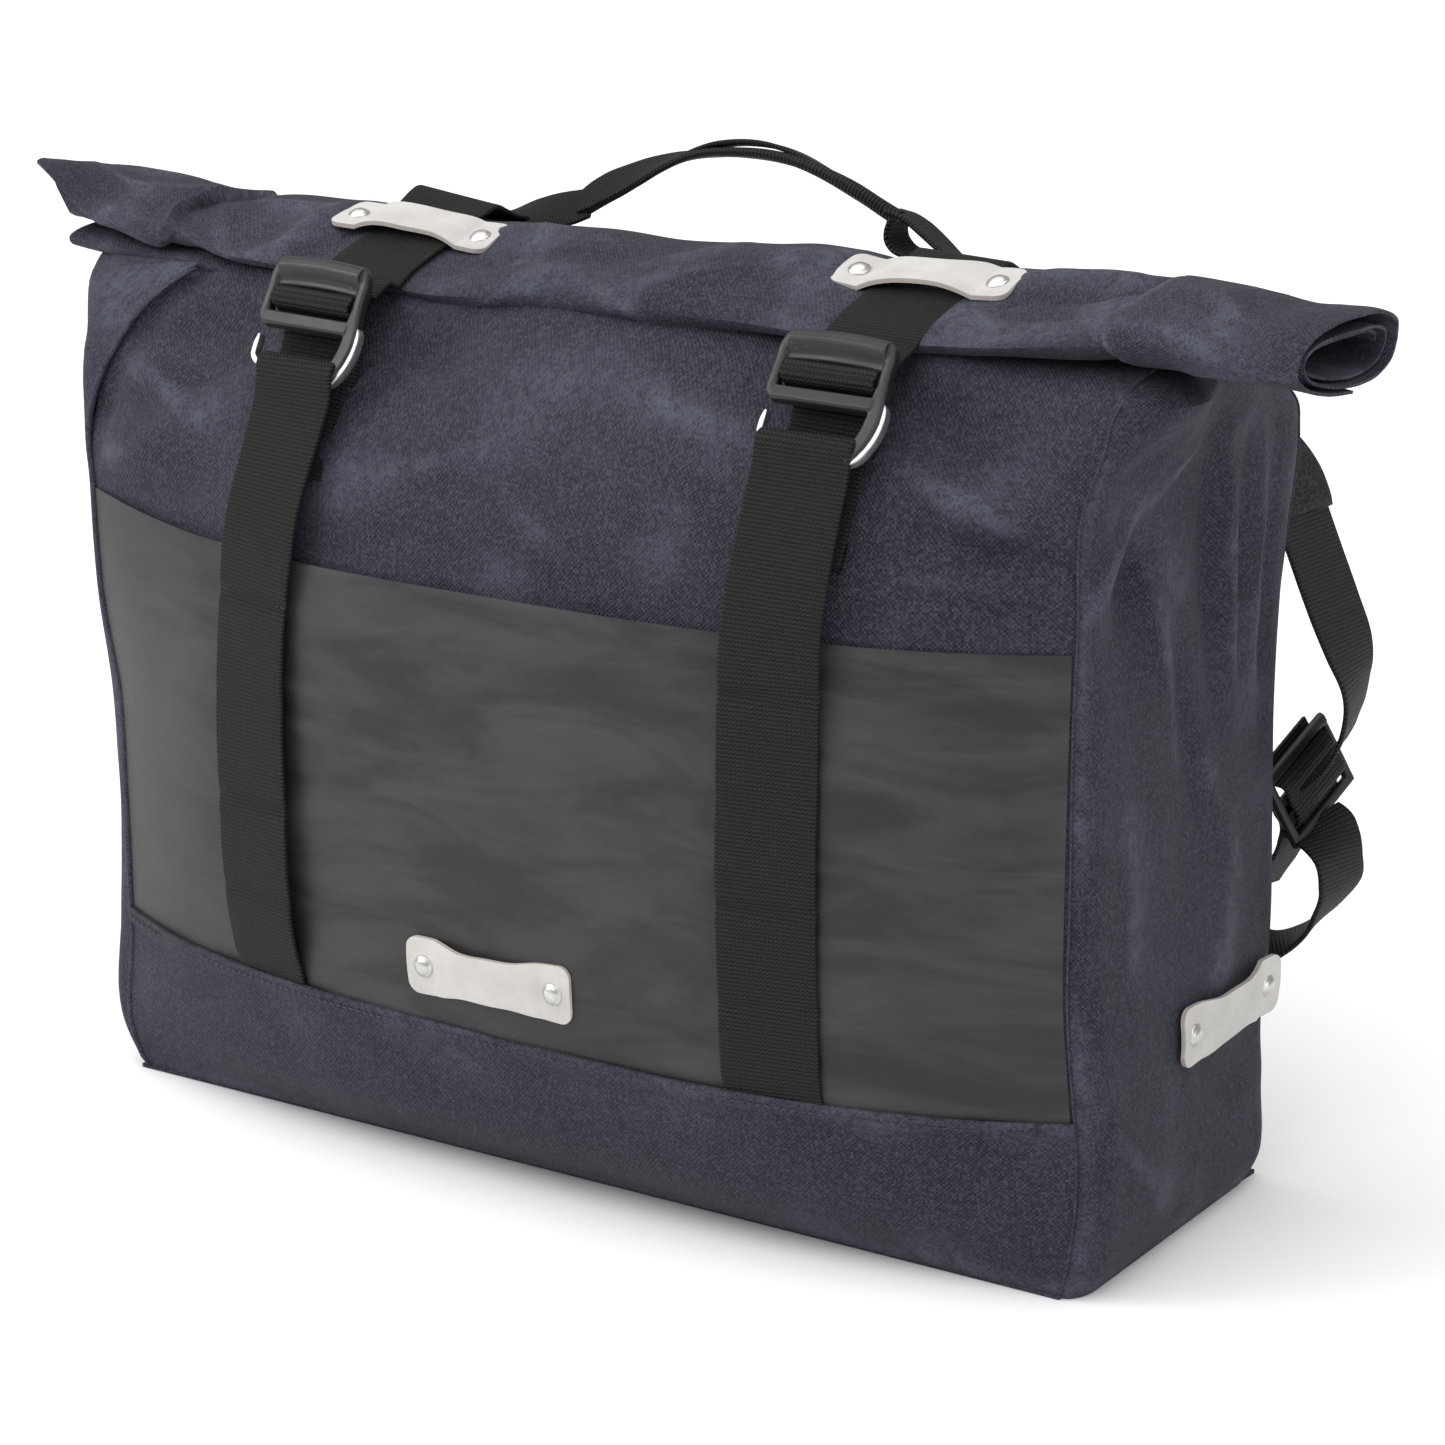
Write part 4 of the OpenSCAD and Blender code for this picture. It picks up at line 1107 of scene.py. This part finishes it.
def top_strap(side):
    name = NAME[side]
    x = top_strap_x(side)
    angles = np.radians(np.linspace(126, 180, 14))
    y, z = roll_section(np.full(14, x), angles, -WEB_T / 2 - 1.1)
    start = [(78.6, 283), (74.5, 292), (66, 301), (54, 314), (44, 325)]
    end = [(-55, 323.0), (-60, 321.0), (-64, 319.0)]
    pairs = start + STRAP_CREST[side] + list(zip(y, z))[:-1] + end
    path = polyline_place([[x, a, b] for a, b in pairs], 190)
    crest = np.exp(-(((path[:, 1] - 12) / 14) ** 2)) * (path[:, 2] > 325)
    across = np.stack([0 * crest - 1, 0 * crest, CREST_TILT[side] * crest], axis=1)
    web_piece(f"{name}_top_webbing", path, across, stands_for=[f"{name}_top_strap"])
    tail = [(2.6, -70, 313), (2.6, -74.5, 304), (2.4, -77.5, 295), (2.0, -82.5, 284), (1.4, -87.5, 274.5),
            (0.4, -93, 262), (0.0, -95.5, 256)]
    path = polyline_place([[x + shift, a + 0.6, b] for shift, a, b in tail], 60)
    web_piece(f"{name}_tail_webbing", path, (-1, 0.0, 0), WEB_W - 1, 1.7, stands_for=[f"{name}_strap_tail"])


# ---- Closure buckles, in a plane of their own: x across, u up the strap, n towards the viewer ----

BUCKLE_FIT = {-1: (29.0, -4.0), 1: (34.0, 0.0)}
BUCKLE_SQUASH = 0.95


def buckle_place(side, points):
    """Points (x, u, n) of a buckle's own plane, put in the part's frame."""
    lean, yaw = BUCKLE_FIT[side]
    points = np.asarray(points, float) * np.array([1, BUCKLE_SQUASH, 1])
    turned = rotated(rotated(points, "X", 90 - lean), "Z", yaw)
    return turned + np.array([top_strap_x(side), HOOK[1], HOOK[2] + 0.8])


def rounded_section(width, depth, r):
    """Outline of a rounded rectangle, as (a, b) pairs."""
    pts = []
    for cx, cy, start in ((width / 2 - r, depth / 2 - r, 0), (-width / 2 + r, depth / 2 - r, 90),
                          (-width / 2 + r, -depth / 2 + r, 180), (width / 2 - r, -depth / 2 + r, 270)):
        for a in np.linspace(start, start + 90, 4):
            pts.append((cx + r * math.cos(math.radians(a)), cy + r * math.sin(math.radians(a))))
    return np.array(pts)


def swept_bar(path, width, depth, r, count=60):
    """A bar along an in-plane path of (x, u, n) points: width in the plane, depth along n."""
    path = polyline_place(path, count)
    tangent = unit(np.gradient(path, axis=0))
    out = np.array([0.0, 0.0, 1.0])
    side_way = unit(np.cross(tangent, out))
    widths = spread(width, count)
    sections = np.array([
        p + np.outer(o[:, 0], w) + np.outer(o[:, 1], out)
        for p, w, o in ((path[i], side_way[i], rounded_section(widths[i], depth, r)) for i in range(count))
    ])
    return sweep(sections)


def extruded(profile, x0, x1, bow=0.0):
    """A profile of (u, n) pairs drawn out along x. bow lifts its middle along u."""
    profile = np.array(profile, float)
    rings = []
    for x in np.linspace(x0, x1, 24):
        lift = bow * (1 - (2 * (x - x0) / (x1 - x0) - 1) ** 2)
        rings.append(np.stack([np.full(len(profile), x), profile[:, 0] + lift, profile[:, 1]], axis=1))
    return sweep(np.array(rings))


def fused(obj, voxel, rounds):
    """Melts overlapping parts into one moulded skin and softens its edges."""
    remesh = obj.modifiers.new("fuse", "REMESH")
    remesh.mode = "VOXEL"
    remesh.voxel_size = voxel * MM
    remesh.use_smooth_shade = True
    smooth = obj.modifiers.new("soften", "SMOOTH")
    smooth.factor, smooth.iterations = 0.5, rounds
    bpy.context.view_layer.update()
    depsgraph = bpy.context.evaluated_depsgraph_get()
    mesh = bpy.data.meshes.new_from_object(obj.evaluated_get(depsgraph))
    obj.modifiers.clear()
    obj.data = mesh


def buckle(side):
    name = NAME[side]
    body = f"{name}_buckle"
    lip = [(42.2, -1.4), (42.6, 0.4), (42.0, 2.4), (40.4, 4.0), (38.2, 4.6), (36.4, 4.1), (35.0, 2.8),
           (33.8, 1.7), (32.4, 1.2), (31.2, 1.2), (30.4, 0.6), (30.2, -0.6), (30.9, -1.8), (34.0, -2.0),
           (41.2, -2.0)]
    plank = [(20.4, -1.6), (20.6, 1.2), (20.0, 2.4), (15.8, 2.9), (14.9, 2.2), (14.2, 0.2), (14.0, -1.0),
             (14.8, -1.8)]
    middle = [(29.4, -1.6), (29.8, 0), (29.4, 1.6), (25.0, 1.6), (24.6, 0), (25.0, -1.6)]
    left_rail = [(-17.0, 40.6, 0.3), (-19.6, 39.6, 0.3), (-21.0, 36.5, 0.3), (-21.2, 30, 0.2),
                 (-21.3, 22, 0.2), (-21.2, 18.6, 0.2), (-19.8, 16.8, 0.2), (-17.4, 16.4, 0.2)]
    right_rail = [(17.0, 40.6, 0.3), (19.6, 39.6, 0.3), (21.0, 36.5, 0.3), (21.2, 30, 0.2), (21.4, 22, 0.1),
                  (21.9, 16, 0), (21.9, 11, 0), (21.0, 6, 0), (19.4, 1.6, 0), (17.6, -2.0, 0),
                  (16.2, -4.4, 0)]
    rail_widths = [4.0, 4.0, 4.3, 5.8, 6.2, 6.0, 4.6]
    parts = [
        extruded(lip, -19.6, 19.6, bow=1.0), extruded(plank, -20, 20), extruded(middle, -20, 20),
        swept_bar(left_rail, 4.0, 5.0, 1.3), swept_bar(right_rail, rail_widths, 4.6, 1.3, 90),
    ]
    verts, faces = joined(parts)
    obj = make(f"{name}_buckle_moulding", buckle_place(side, verts), faces, PLASTIC, body=None)
    fused(obj, 0.38, 3)
    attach(obj, body)
    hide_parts(f"{name}_buckle_frame")

    hook = [(23.8, 19.0, -0.4), (24.9, 16.0, -0.4), (25.3, 10.5, -0.4), (24.5, 5.2, -0.4), (22.8, 0.8, -0.4),
            (20.4, -3.0, -0.4), (17.4, -4.9, -0.4), (12.0, -3.4, -0.4), (0, -0.9, -0.4), (-12, -0.8, -0.4),
            (-18.0, -0.2, -0.4), (-20.2, 1.8, -0.4), (-20.8, 5.4, -0.4), (-20.6, 10.4, -0.4)]
    ends = [0.7, 2.0] + [2.1] * 24 + [2.1, 1.9, 1.0]
    verts, faces = swept_bar(hook, ends, 3.6, 0.3, 160)
    make(f"{name}_hook_bar", buckle_place(side, verts), faces, HOOK_METAL, body=body, slot="hook_steel",
         stands_for=[f"{name}_buckle_hook"], sharp=60)

    wrap = [(35.0, -7.6), (32.0, -4.6), (30.9, -2.6), (30.3, -1.4), (30.2, 0.6), (29.4, 2.4), (28.3, 2.7),
            (27.6, 2.2), (26.8, 3.2), (25.4, 3.6), (24.2, 2.9), (23.3, 1.4), (22.7, -1.4), (21.8, -4.2),
            (20.2, -7.0)]
    path = buckle_place(side, polyline_place([[0, u, n] for u, n in wrap], 70))
    across = buckle_place(side, [[-1, 0, 0]])[0] - buckle_place(side, [[0, 0, 0]])[0]
    web_piece(f"{name}_wrap_webbing", path, across, WEB_W - 0.4, 1.7, body=body,
              stands_for=[f"{name}_strap_wrap"])


# ---- Leather loops and rivets ----

LOOP_HALF = 36.0
RIVET_PITCH = 28.5


def leather_loop(name, surface, rise, square, seed, node, waist=2.3):
    """A dog-bone leather strip over a surface(u, v) of points, arched by rise between its rivets."""
    count = 120
    u = LOOP_HALF * np.sin(np.linspace(-math.pi / 2, math.pi / 2, count))
    corner = 4.6
    half = 10.8 - waist * np.exp(-((u / 17.0) ** 4)) + 0.25 * np.sin(u / 5.1 + seed)
    past = np.clip(np.abs(u) - (LOOP_HALF - corner), 0, corner)
    half = half - corner + np.sqrt(np.maximum(corner**2 - past**2, 0.01))
    height = 1.0 + rise * np.clip(1 - np.abs(u / 23.5) ** square, 0, 1)
    height = height + 0.25 * np.sin(u / 7.0 + 2 * seed) * np.exp(-((u / 30) ** 6))
    outline = band_section(1000, 2, 13)
    s = outline[:, 0] / 500
    thick = 0.85
    sections = np.zeros((count, len(outline), 3))
    for i in range(count):
        along, v = np.full(len(s), u[i]), s * half[i]
        lift = height[i] + thick * outline[:, 1] - 0.35 * s * s * rise / 3
        sections[i] = surface(along, v) + outward(surface, along, v, 0.5) * lift[:, None]
    verts, faces = sweep(sections)
    rim = np.tile(np.abs(outline[:, 1]) < 0.9, count).astype(float)
    make(name, verts, faces, LEATHER, wear=rim, slot="pale_leather", stands_for=[node])


def rivet_piece(name, surface, node):
    """The two domed rivet caps of a leather loop that lies over a surface."""
    profile = [(0.02, -0.8), (3.9, -0.8), (4.15, -0.5), (4.2, 0.0), (4.0, 0.35), (3.7, 0.52), (3.5, 0.6),
               (3.3, 0.85), (2.8, 1.25), (2.1, 1.6), (1.2, 1.85), (0.5, 1.93), (0.02, 1.95)]
    cap, cap_faces = lathe(profile)
    lift = 1.9
    parts = []
    for u in (-RIVET_PITCH, RIVET_PITCH):
        place = surface(np.array([u]), np.array([0]))[0]
        out = outward(surface, np.array([u]), np.array([0]), 0.8)[0]
        turn = np.array(Vector((0, 0, 1)).rotation_difference(Vector(out)).to_matrix())
        parts.append((cap @ turn.T + place + out * lift, cap_faces))
    verts, faces = joined(parts)
    make(name, verts, faces, RIVET, slot="rivet_steel", stands_for=[node], sharp=50)


def front_loop_surface(u, v):
    x, z = -3.4 + 1.02 * u, 90 + v + 0.02 * u
    return front_at(x, z) + front_normal(x, z) * 0.6


def side_loop_surface(u, v):
    """On the right gusset, its rear end turning round the back corner."""
    z = 80.4 + v
    y = 26.8 + 1.07 * u
    corner = 52
    past = np.maximum(y - corner, 0)[..., None]
    return gusset_at(1, np.minimum(y, corner), z) + np.array([1.6, 0, 0]) + past * np.array([0.08, 1, 0])


def keeper_surface(side):
    def surface(u, v):
        x = top_strap_x(side) + u * 0.995
        y = -12 + 0.95 * v
        share = (y - through(ROLL_FRONT_Y, x)) / (ROLL_Y + ROLL_HALF_D - through(ROLL_FRONT_Y, x))
        low, top = through(ROLL_LOW_Z, x), through(ROLL_TOP_Z, x)
        slope = [(row[1], row[2]) for row in PRESSED[9:2:-1]]
        rest = low + (top - low) * through(slope, share) + 0.5
        level = 334.3 - 0.055 * u if side < 0 else 338.4 + 0.043 * u
        return np.stack([x, y, np.maximum(level + 0.15 * v, rest)], axis=-1)
    return surface


def leather_parts():
    leather_loop("front_loop_leather", front_loop_surface, 2.4, 3.0, 1.0, "front_light_loop")
    rivet_piece("front_loop_caps", front_loop_surface, "front_loop_rivets")
    leather_loop("side_loop_leather", side_loop_surface, 2.6, 3.0, 2.2, "side_light_loop")
    rivet_piece("side_loop_caps", side_loop_surface, "side_loop_rivets")
    for side, name in NAME.items():
        surface = keeper_surface(side)
        leather_loop(f"{name}_keeper_leather", surface, 3.4, 3.4, 3.1 + side, f"{name}_strap_keeper", 1.3)
        rivet_piece(f"{name}_keeper_caps", surface, f"{name}_keeper_rivets")


# ---- Handle ----

def handle():
    """A webbing folded along its middle, whose two halves part at the top, and its flat ends."""
    count = 130
    x = np.linspace(-71, 71.5, count)
    arch = through([(-71, 340.0), (-66, 343.4), (-60, 347.0), (-50, 351.8), (-42, 355.6), (-30, 360.6),
                    (-20, 363.6), (-8, 366), (3, 366.9), (15, 367), (25, 366), (34, 364), (43, 360.9),
                    (54.7, 356.4), (63.7, 352.2), (71.5, 348.8)], x)
    tilt = np.radians(through([(-71, 52), (-55, 42), (-42, 33), (-30, 15), (-18, -4), (0, -12), (34, -21),
                               (50, -28), (71.5, -28)], x))
    width = through([(-71, 11), (-67, 14), (-61, 16), (-52, 16.5), (-40, 15.5), (0, 15), (50, 15),
                     (71.5, 14)], x)
    across = np.stack([0 * x, np.cos(tilt), np.sin(tilt)], axis=1)
    path = np.stack([x, HANDLE[1] + 0 * x, arch], axis=1)
    # The left foot ends in the soft knob of the fold
    puff = through([(-71, 5.6), (-62, 4.2), (-40, 3.2), (0, 3.2), (25, 4.0), (50, 5.2), (71.5, 5.8)], x)
    verts, faces, flat = band(path, -across, width, puff)
    rise = 0.5 + through([(-71, 0), (-26, 0), (-16, 1.2), (-6, 2.5), (4, 3.1), (14, 2.9), (24, 2.0),
                          (34, 0.7), (42, 0), (71.5, 0)], x)
    upper = path + np.stack([0 * x, 1.6 + 0 * x, rise], axis=1)
    second = band(upper, -across, width * 0.86, 1.9)
    parts = joined([(verts, faces), (second[0], second[1])])
    make("handle_grip", parts[0], parts[1], WEBBING, flat=np.concatenate([flat, second[2]]), body="handle",
         slot="black_webbing", stands_for=["handle"])
    runs = {
        "left": ([(-66, 38, 342.0), (-72, 37.8, 339.4), (-80, 37.3, 337.6), (-89, 36.2, 335.8),
                  (-99, 35.2, 334.0), (-118, 34.8, 331.6), (-134, 34.8, 331)],
                  [(0, 48), (0.2, 40), (0.42, 22), (0.7, -12), (1, -40)]),
        "right": ([(67, 38.6, 351.8), (72, 39, 350.8), (77, 39.2, 348.6), (84, 38.6, 344.4),
                   (91, 37.4, 340.0), (99, 36.0, 335.6), (120, 34.8, 331.6), (134, 34.8, 331)],
                  [(0, -10), (0.2, -12), (0.42, -20), (0.7, -34), (1, -43)]),
        "right_fold": ([(70.5, 36.4, 348.4), (70.2, 35.9, 346.0), (70.9, 35.3, 342.6), (73.4, 35.0, 339.8),
                        (78, 34.8, 338.0), (86, 34.6, 336.0), (98, 34.4, 332.8)],
                       [(0, 4), (0.3, 2), (0.6, -10), (1, -30)]),
    }
    for name, (run, lean) in runs.items():
        side = -1 if name == "left" else 1
        count = 70
        places = np.linspace(0, 1, count)
        path = polyline_place(run, count)
        angle = np.radians(through(lean, places))
        across = np.stack([0 * angle, np.cos(angle), np.sin(angle)], axis=1) * side
        wide = np.interp(places, [0, 0.15, 0.4, 1],
                         [16, 17, 20, 22] if name != "right_fold" else [15, 15, 14, 12])
        stands_for = [] if name == "right_fold" else [f"{name}_handle_tab"]
        web_piece(f"{name}_handle_end", path, across, wide, 2.0, stands_for=stands_for)


# ---- Shoulder straps: worked out for the right side and mirrored for the left ----

def mirrored(points, side):
    return np.asarray(points, float) * np.array([side, 1, 1])


def directions(known, count):
    """Unit directions at count places, smooth through a few known ones."""
    known = np.array(known, float)
    at = np.linspace(0, 1, len(known))
    places = np.linspace(0, 1, count)
    return unit(np.stack([through(list(zip(at, known[:, k])), places) for k in range(3)], axis=1))


def side_web(name, side, run, across, width, thickness, count, body, **facts):
    path = mirrored(polyline_place(run, count), side)
    wide = mirrored(directions(across, count), side) * side
    web_piece(name, path, wide, spread(width, count), thickness, body=body, **facts)


def shoulder_pad(name, side, body):
    run = [[113, 85, 262], [128, 90, 266], [145, 95, 268], [162, 99, 267], [179, 101, 263], [194, 101, 256],
           [205, 100, 246]]
    across = [[0, .02, 1], [.03, .12, 1], [.1, .34, .94], [.2, .62, .75], [.22, .83, .5], [.12, .96, .25],
              [0, 1, .05]]
    count = 90
    path = polyline_place(run, count)
    places = np.linspace(0, 1, count)
    _, wide, normal = frames_along(path, directions(across, count))
    half = through([(0, 19), (0.12, 23), (0.5, 24.5), (0.85, 22.5), (1, 20)], places)
    ends = np.clip(np.minimum(places, 1 - places) / 0.05, 0, 1)
    sections = []
    outline = np.linspace(0, 2 * math.pi, 40, endpoint=False)
    c, s = np.cos(outline), np.sin(outline)
    for i in range(count):
        a = half[i] * np.sign(c) * np.abs(c) ** 0.72
        puff = 3.6 * math.sqrt(max(ends[i] * (2 - ends[i]), 0.06))
        # A bound rim runs round the pad, and its faces swell between the quilting lines
        rim = 0.55 + 0.45 * np.clip((1 - np.abs(a / half[i])) / 0.16, 0, 1) ** 0.5
        b = puff * rim * np.sign(s) * np.abs(s) ** 0.5 * (1 - 0.16 * np.exp(-((a / 2.6) ** 2)))
        sections.append(path[i] + np.outer(a, wide[i]) + np.outer(b, normal[i]))
    verts, faces = sweep(np.array(sections))
    flat = np.zeros((count, len(outline), 3))
    flat[:, :, 0] = c * 24
    flat[:, :, 1] = (places * 110)[:, None]
    obj = make(f"{name}_pad", mirrored(verts, side), [f[::side] for f in faces], PAD,
               flat=flat.reshape(-1, 3), body=body, slot="pad_rubber", stands_for=[f"{name}_shoulder_pad"])


def adjuster(name, side, body):
    """A moulded ladder buckle, turned so that its face looks sideways."""
    wide = np.array([0, 0.94, 0.34])
    down = unit(np.array([0.32, 0.32, -0.89]))
    out = np.cross(down, wide)
    parts = [
        extruded([(13, -1.8), (15, -1.2), (15.4, 0.4), (14.6, 1.8), (11.6, 2.2), (10.6, 0.6), (10.8, -1.2)],
                 -23, 23),
        extruded([(4.2, -1.6), (4.6, 0), (4.2, 1.6), (1.4, 1.6), (1.0, 0), (1.4, -1.6)], -22, 22),
        extruded([(-3.4, -1.6), (-3.0, 0), (-3.4, 1.6), (-6.2, 1.6), (-6.6, 0), (-6.2, -1.6)], -22, 22),
        extruded([(-11.4, -1.4), (-11.0, 0.4), (-11.6, 1.8), (-14.4, 1.8), (-15.2, 0), (-14.6, -1.4)],
                 -23, 23),
        swept_bar([(-21.4, -14, 0), (-21.6, 0, 0), (-21.4, 14, 0)], 3.4, 3.8, 1.0, 30),
        swept_bar([(21.4, -14, 0), (21.6, 0, 0), (21.4, 14, 0)], 3.4, 3.8, 1.0, 30),
    ]
    verts, faces = joined(parts)
    at = np.array([208.5, 104.0, 144.5])
    placed = at + np.outer(verts[:, 0], wide) - np.outer(verts[:, 1], down) + np.outer(verts[:, 2], out)
    obj = make(f"{name}_adjuster_moulding", mirrored(placed, side), [f[::side] for f in faces], PLASTIC,
               body=None)
    fused(obj, 0.45, 3)
    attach(obj, body)
    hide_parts(f"{name}_strap_adjuster")
    # The webbing goes up through the ladder and over its bars
    weave = ((17, -3.2), (11, -3.0), (8.6, 0), (6.4, 2.9), (-1, 3.1), (-8.6, 2.9), (-10.4, 0), (-12.6, -3.0),
             (-17, -3.6))
    run = [at + down * a + out * b for a, b in weave]
    side_web(f"{name}_adjuster_webbing", side, run, [wide] * 4, 37, 1.7, 60, body)


def shoulder_strap(side):
    name = NAME[side]
    body = f"{name}_shoulder_strap"
    shoulder_pad(name, side, body)
    side_web(f"{name}_upper_webbing", side,
             [[203, 100, 249], [207, 99.8, 240], [212, 99.5, 229], [219, 99, 214], [226, 98.5, 199],
              [229.6, 98.5, 186], [228, 99.5, 174], [222, 102, 162], [214, 105.5, 152]],
             [[0, 1, 0], [0, 1, 0], [0, 1, 0], [-0.05, 1, 0.02], [-0.25, 0.95, 0.05], [-0.2, 0.94, 0.25],
              [0, 0.94, 0.34]],
             WEB_W, WEB_T, 110, body, stands_for=[f"{name}_shoulder_webbing"])
    adjuster(name, side, body)
    side_web(f"{name}_lower_webbing_band", side,
             [[212, 102, 131], [219, 100, 127], [225, 98.5, 119], [226.5, 97.5, 109], [221, 96, 98],
              [213, 91.5, 89], [204, 86, 84.6], [192, 80.8, 85]],
             [[0, 0.84, 0.54], [-0.12, 0.93, 0.3], [-0.05, 1, 0.06], [-0.1, 0.99, 0.02], [-0.35, 0.88, -0.1],
              [-0.4, 0.8, 0.1], [0, 0.4, 0.9]],
             [25, 33, 38, 37, 33, 30, 34], WEB_T, 110, body, stands_for=[f"{name}_lower_webbing"])
    side_web(f"{name}_webbing_tail", side,
             [[205, 103, 141], [207, 103, 133], [205.5, 102, 124], [200.5, 99.5, 113], [195, 97, 104]],
             [[0, 0.94, 0.34], [0, 0.97, 0.2], [0, 1, 0.05]], WEB_W - 2, 1.6, 50, body)
    for where, (x, y, z) in (("upper", (98, BACK + 6.4, 262)), ("lower", (188, BACK + 5.4, 86))):
        path = mirrored([[x + shift, y, z] for shift in np.linspace(-12, 12, 12)], side)
        web_piece(f"{name}_{where}_anchor_patch", path, (0, 0, side), WEB_W, 3.0,
                  stands_for=[f"{name}_{where}_anchor"])
        box = [(-9, -15), (-9, 15), (9, 15), (9, -15), (-9, -15), (9, 15), (9, -15), (-9, 15)]
        points, along = [], []
        for (a0, b0), (a1, b1) in zip(box[:-1], box[1:]):
            length = math.hypot(a1 - a0, b1 - b0)
            way = np.array([(a1 - a0) * side / length, 0, (b1 - b0) / length])
            for q in np.arange(1.2, length, 2.8):
                points.append([side * (x + a0 + (a1 - a0) * q / length), y + 1.55,
                               z + b0 + (b1 - b0) * q / length])
                along.append(way)
        outs = [np.array([0, 1.0, 0])] * len(points)
        rows = [(np.array(points), along, outs, 2.2, 0.35)]
        stitch_rows(f"{name}_{where}_anchor_stitches", rows, "black_webbing")


# ---- Inside the body: the CAD board and foam keep their own shapes ----

def inner_parts():
    for node, colour in (("base_board", (0.03, 0.03, 0.03)), ("back_foam", (0.045, 0.045, 0.05))):
        s = Shader(node)
        grain = s.noise(s.place(), 500.0, 3.0)
        s.set(color=s.mix(grain, colour, tuple(1.4 * c for c in colour)), roughness=0.7,
              normal=s.bump(grain, 0.2, 0.0002))
        mesh = frame["nodes"][node].data
        mesh.materials.clear()
        mesh.materials.append(s.material)


for strap_side in (-1, 1):
    front_strap(strap_side)
    top_strap(strap_side)
    buckle(strap_side)
    shoulder_strap(strap_side)
hem_stitches()
leather_parts()
handle()
inner_parts()


# ---- Stage, light and camera ----

def stage():
    size = 6.0
    mesh = bpy.data.meshes.new("floor")
    mesh.from_pydata([(-size, -size, 0), (size, -size, 0), (size, size, 0), (-size, size, 0)], [],
                     [(0, 1, 2, 3)])
    floor = bpy.data.objects.new("floor", mesh)
    bpy.context.scene.collection.objects.link(floor)
    s = Shader("floor_paper")
    mesh.materials.append(s.set(color=(0.93, 0.93, 0.93), roughness=0.9))


def area_light(name, place, target, size, power):
    light = bpy.data.lights.new(name, "AREA")
    light.shape = "RECTANGLE"
    light.size, light.size_y = size
    light.energy = power
    lamp = bpy.data.objects.new(name, light)
    lamp.location = place
    lamp.rotation_mode = "QUATERNION"
    lamp.rotation_quaternion = (Vector(target) - Vector(place)).to_track_quat("-Z", "Y")
    bpy.context.scene.collection.objects.link(lamp)


def studio():
    world = bpy.data.worlds.new("studio")
    world.use_nodes = True
    world.node_tree.nodes["Background"].inputs[0].default_value = (1.0, 1.0, 1.0, 1.0)
    world.node_tree.nodes["Background"].inputs[1].default_value = 0.50
    bpy.context.scene.world = world
    area_light("key", (-1.6, -1.3, 1.3), (0, 0, 0.15), (1.4, 1.4), 24)
    area_light("side", (2.2, -0.9, 1.0), (0, 0, 0.15), (1.2, 1.6), 13)
    sun = bpy.data.lights.new("sky", "SUN")
    sun.energy = 2.5
    sun.angle = math.radians(95)
    lamp = bpy.data.objects.new("sky", sun)
    lamp.rotation_mode = "QUATERNION"
    lamp.rotation_quaternion = Vector((0.16, 0.30, -1.0)).to_track_quat("-Z", "Y")
    bpy.context.scene.collection.objects.link(lamp)
    bpy.context.scene.view_settings.view_transform = "Standard"


def camera():
    data = bpy.data.cameras.new("camera")
    data.lens = 121.6
    data.sensor_width = 36.0
    data.clip_start, data.clip_end = 0.05, 50
    cam = bpy.data.objects.new("camera", data)
    cam.location = (0.98911, -1.44007, 0.67086)
    cam.rotation_euler = (math.radians(90 - 16.3626), 0, math.radians(33.97))
    bpy.context.scene.collection.objects.link(cam)
    bpy.context.scene.camera = cam


stage()
studio()
camera()
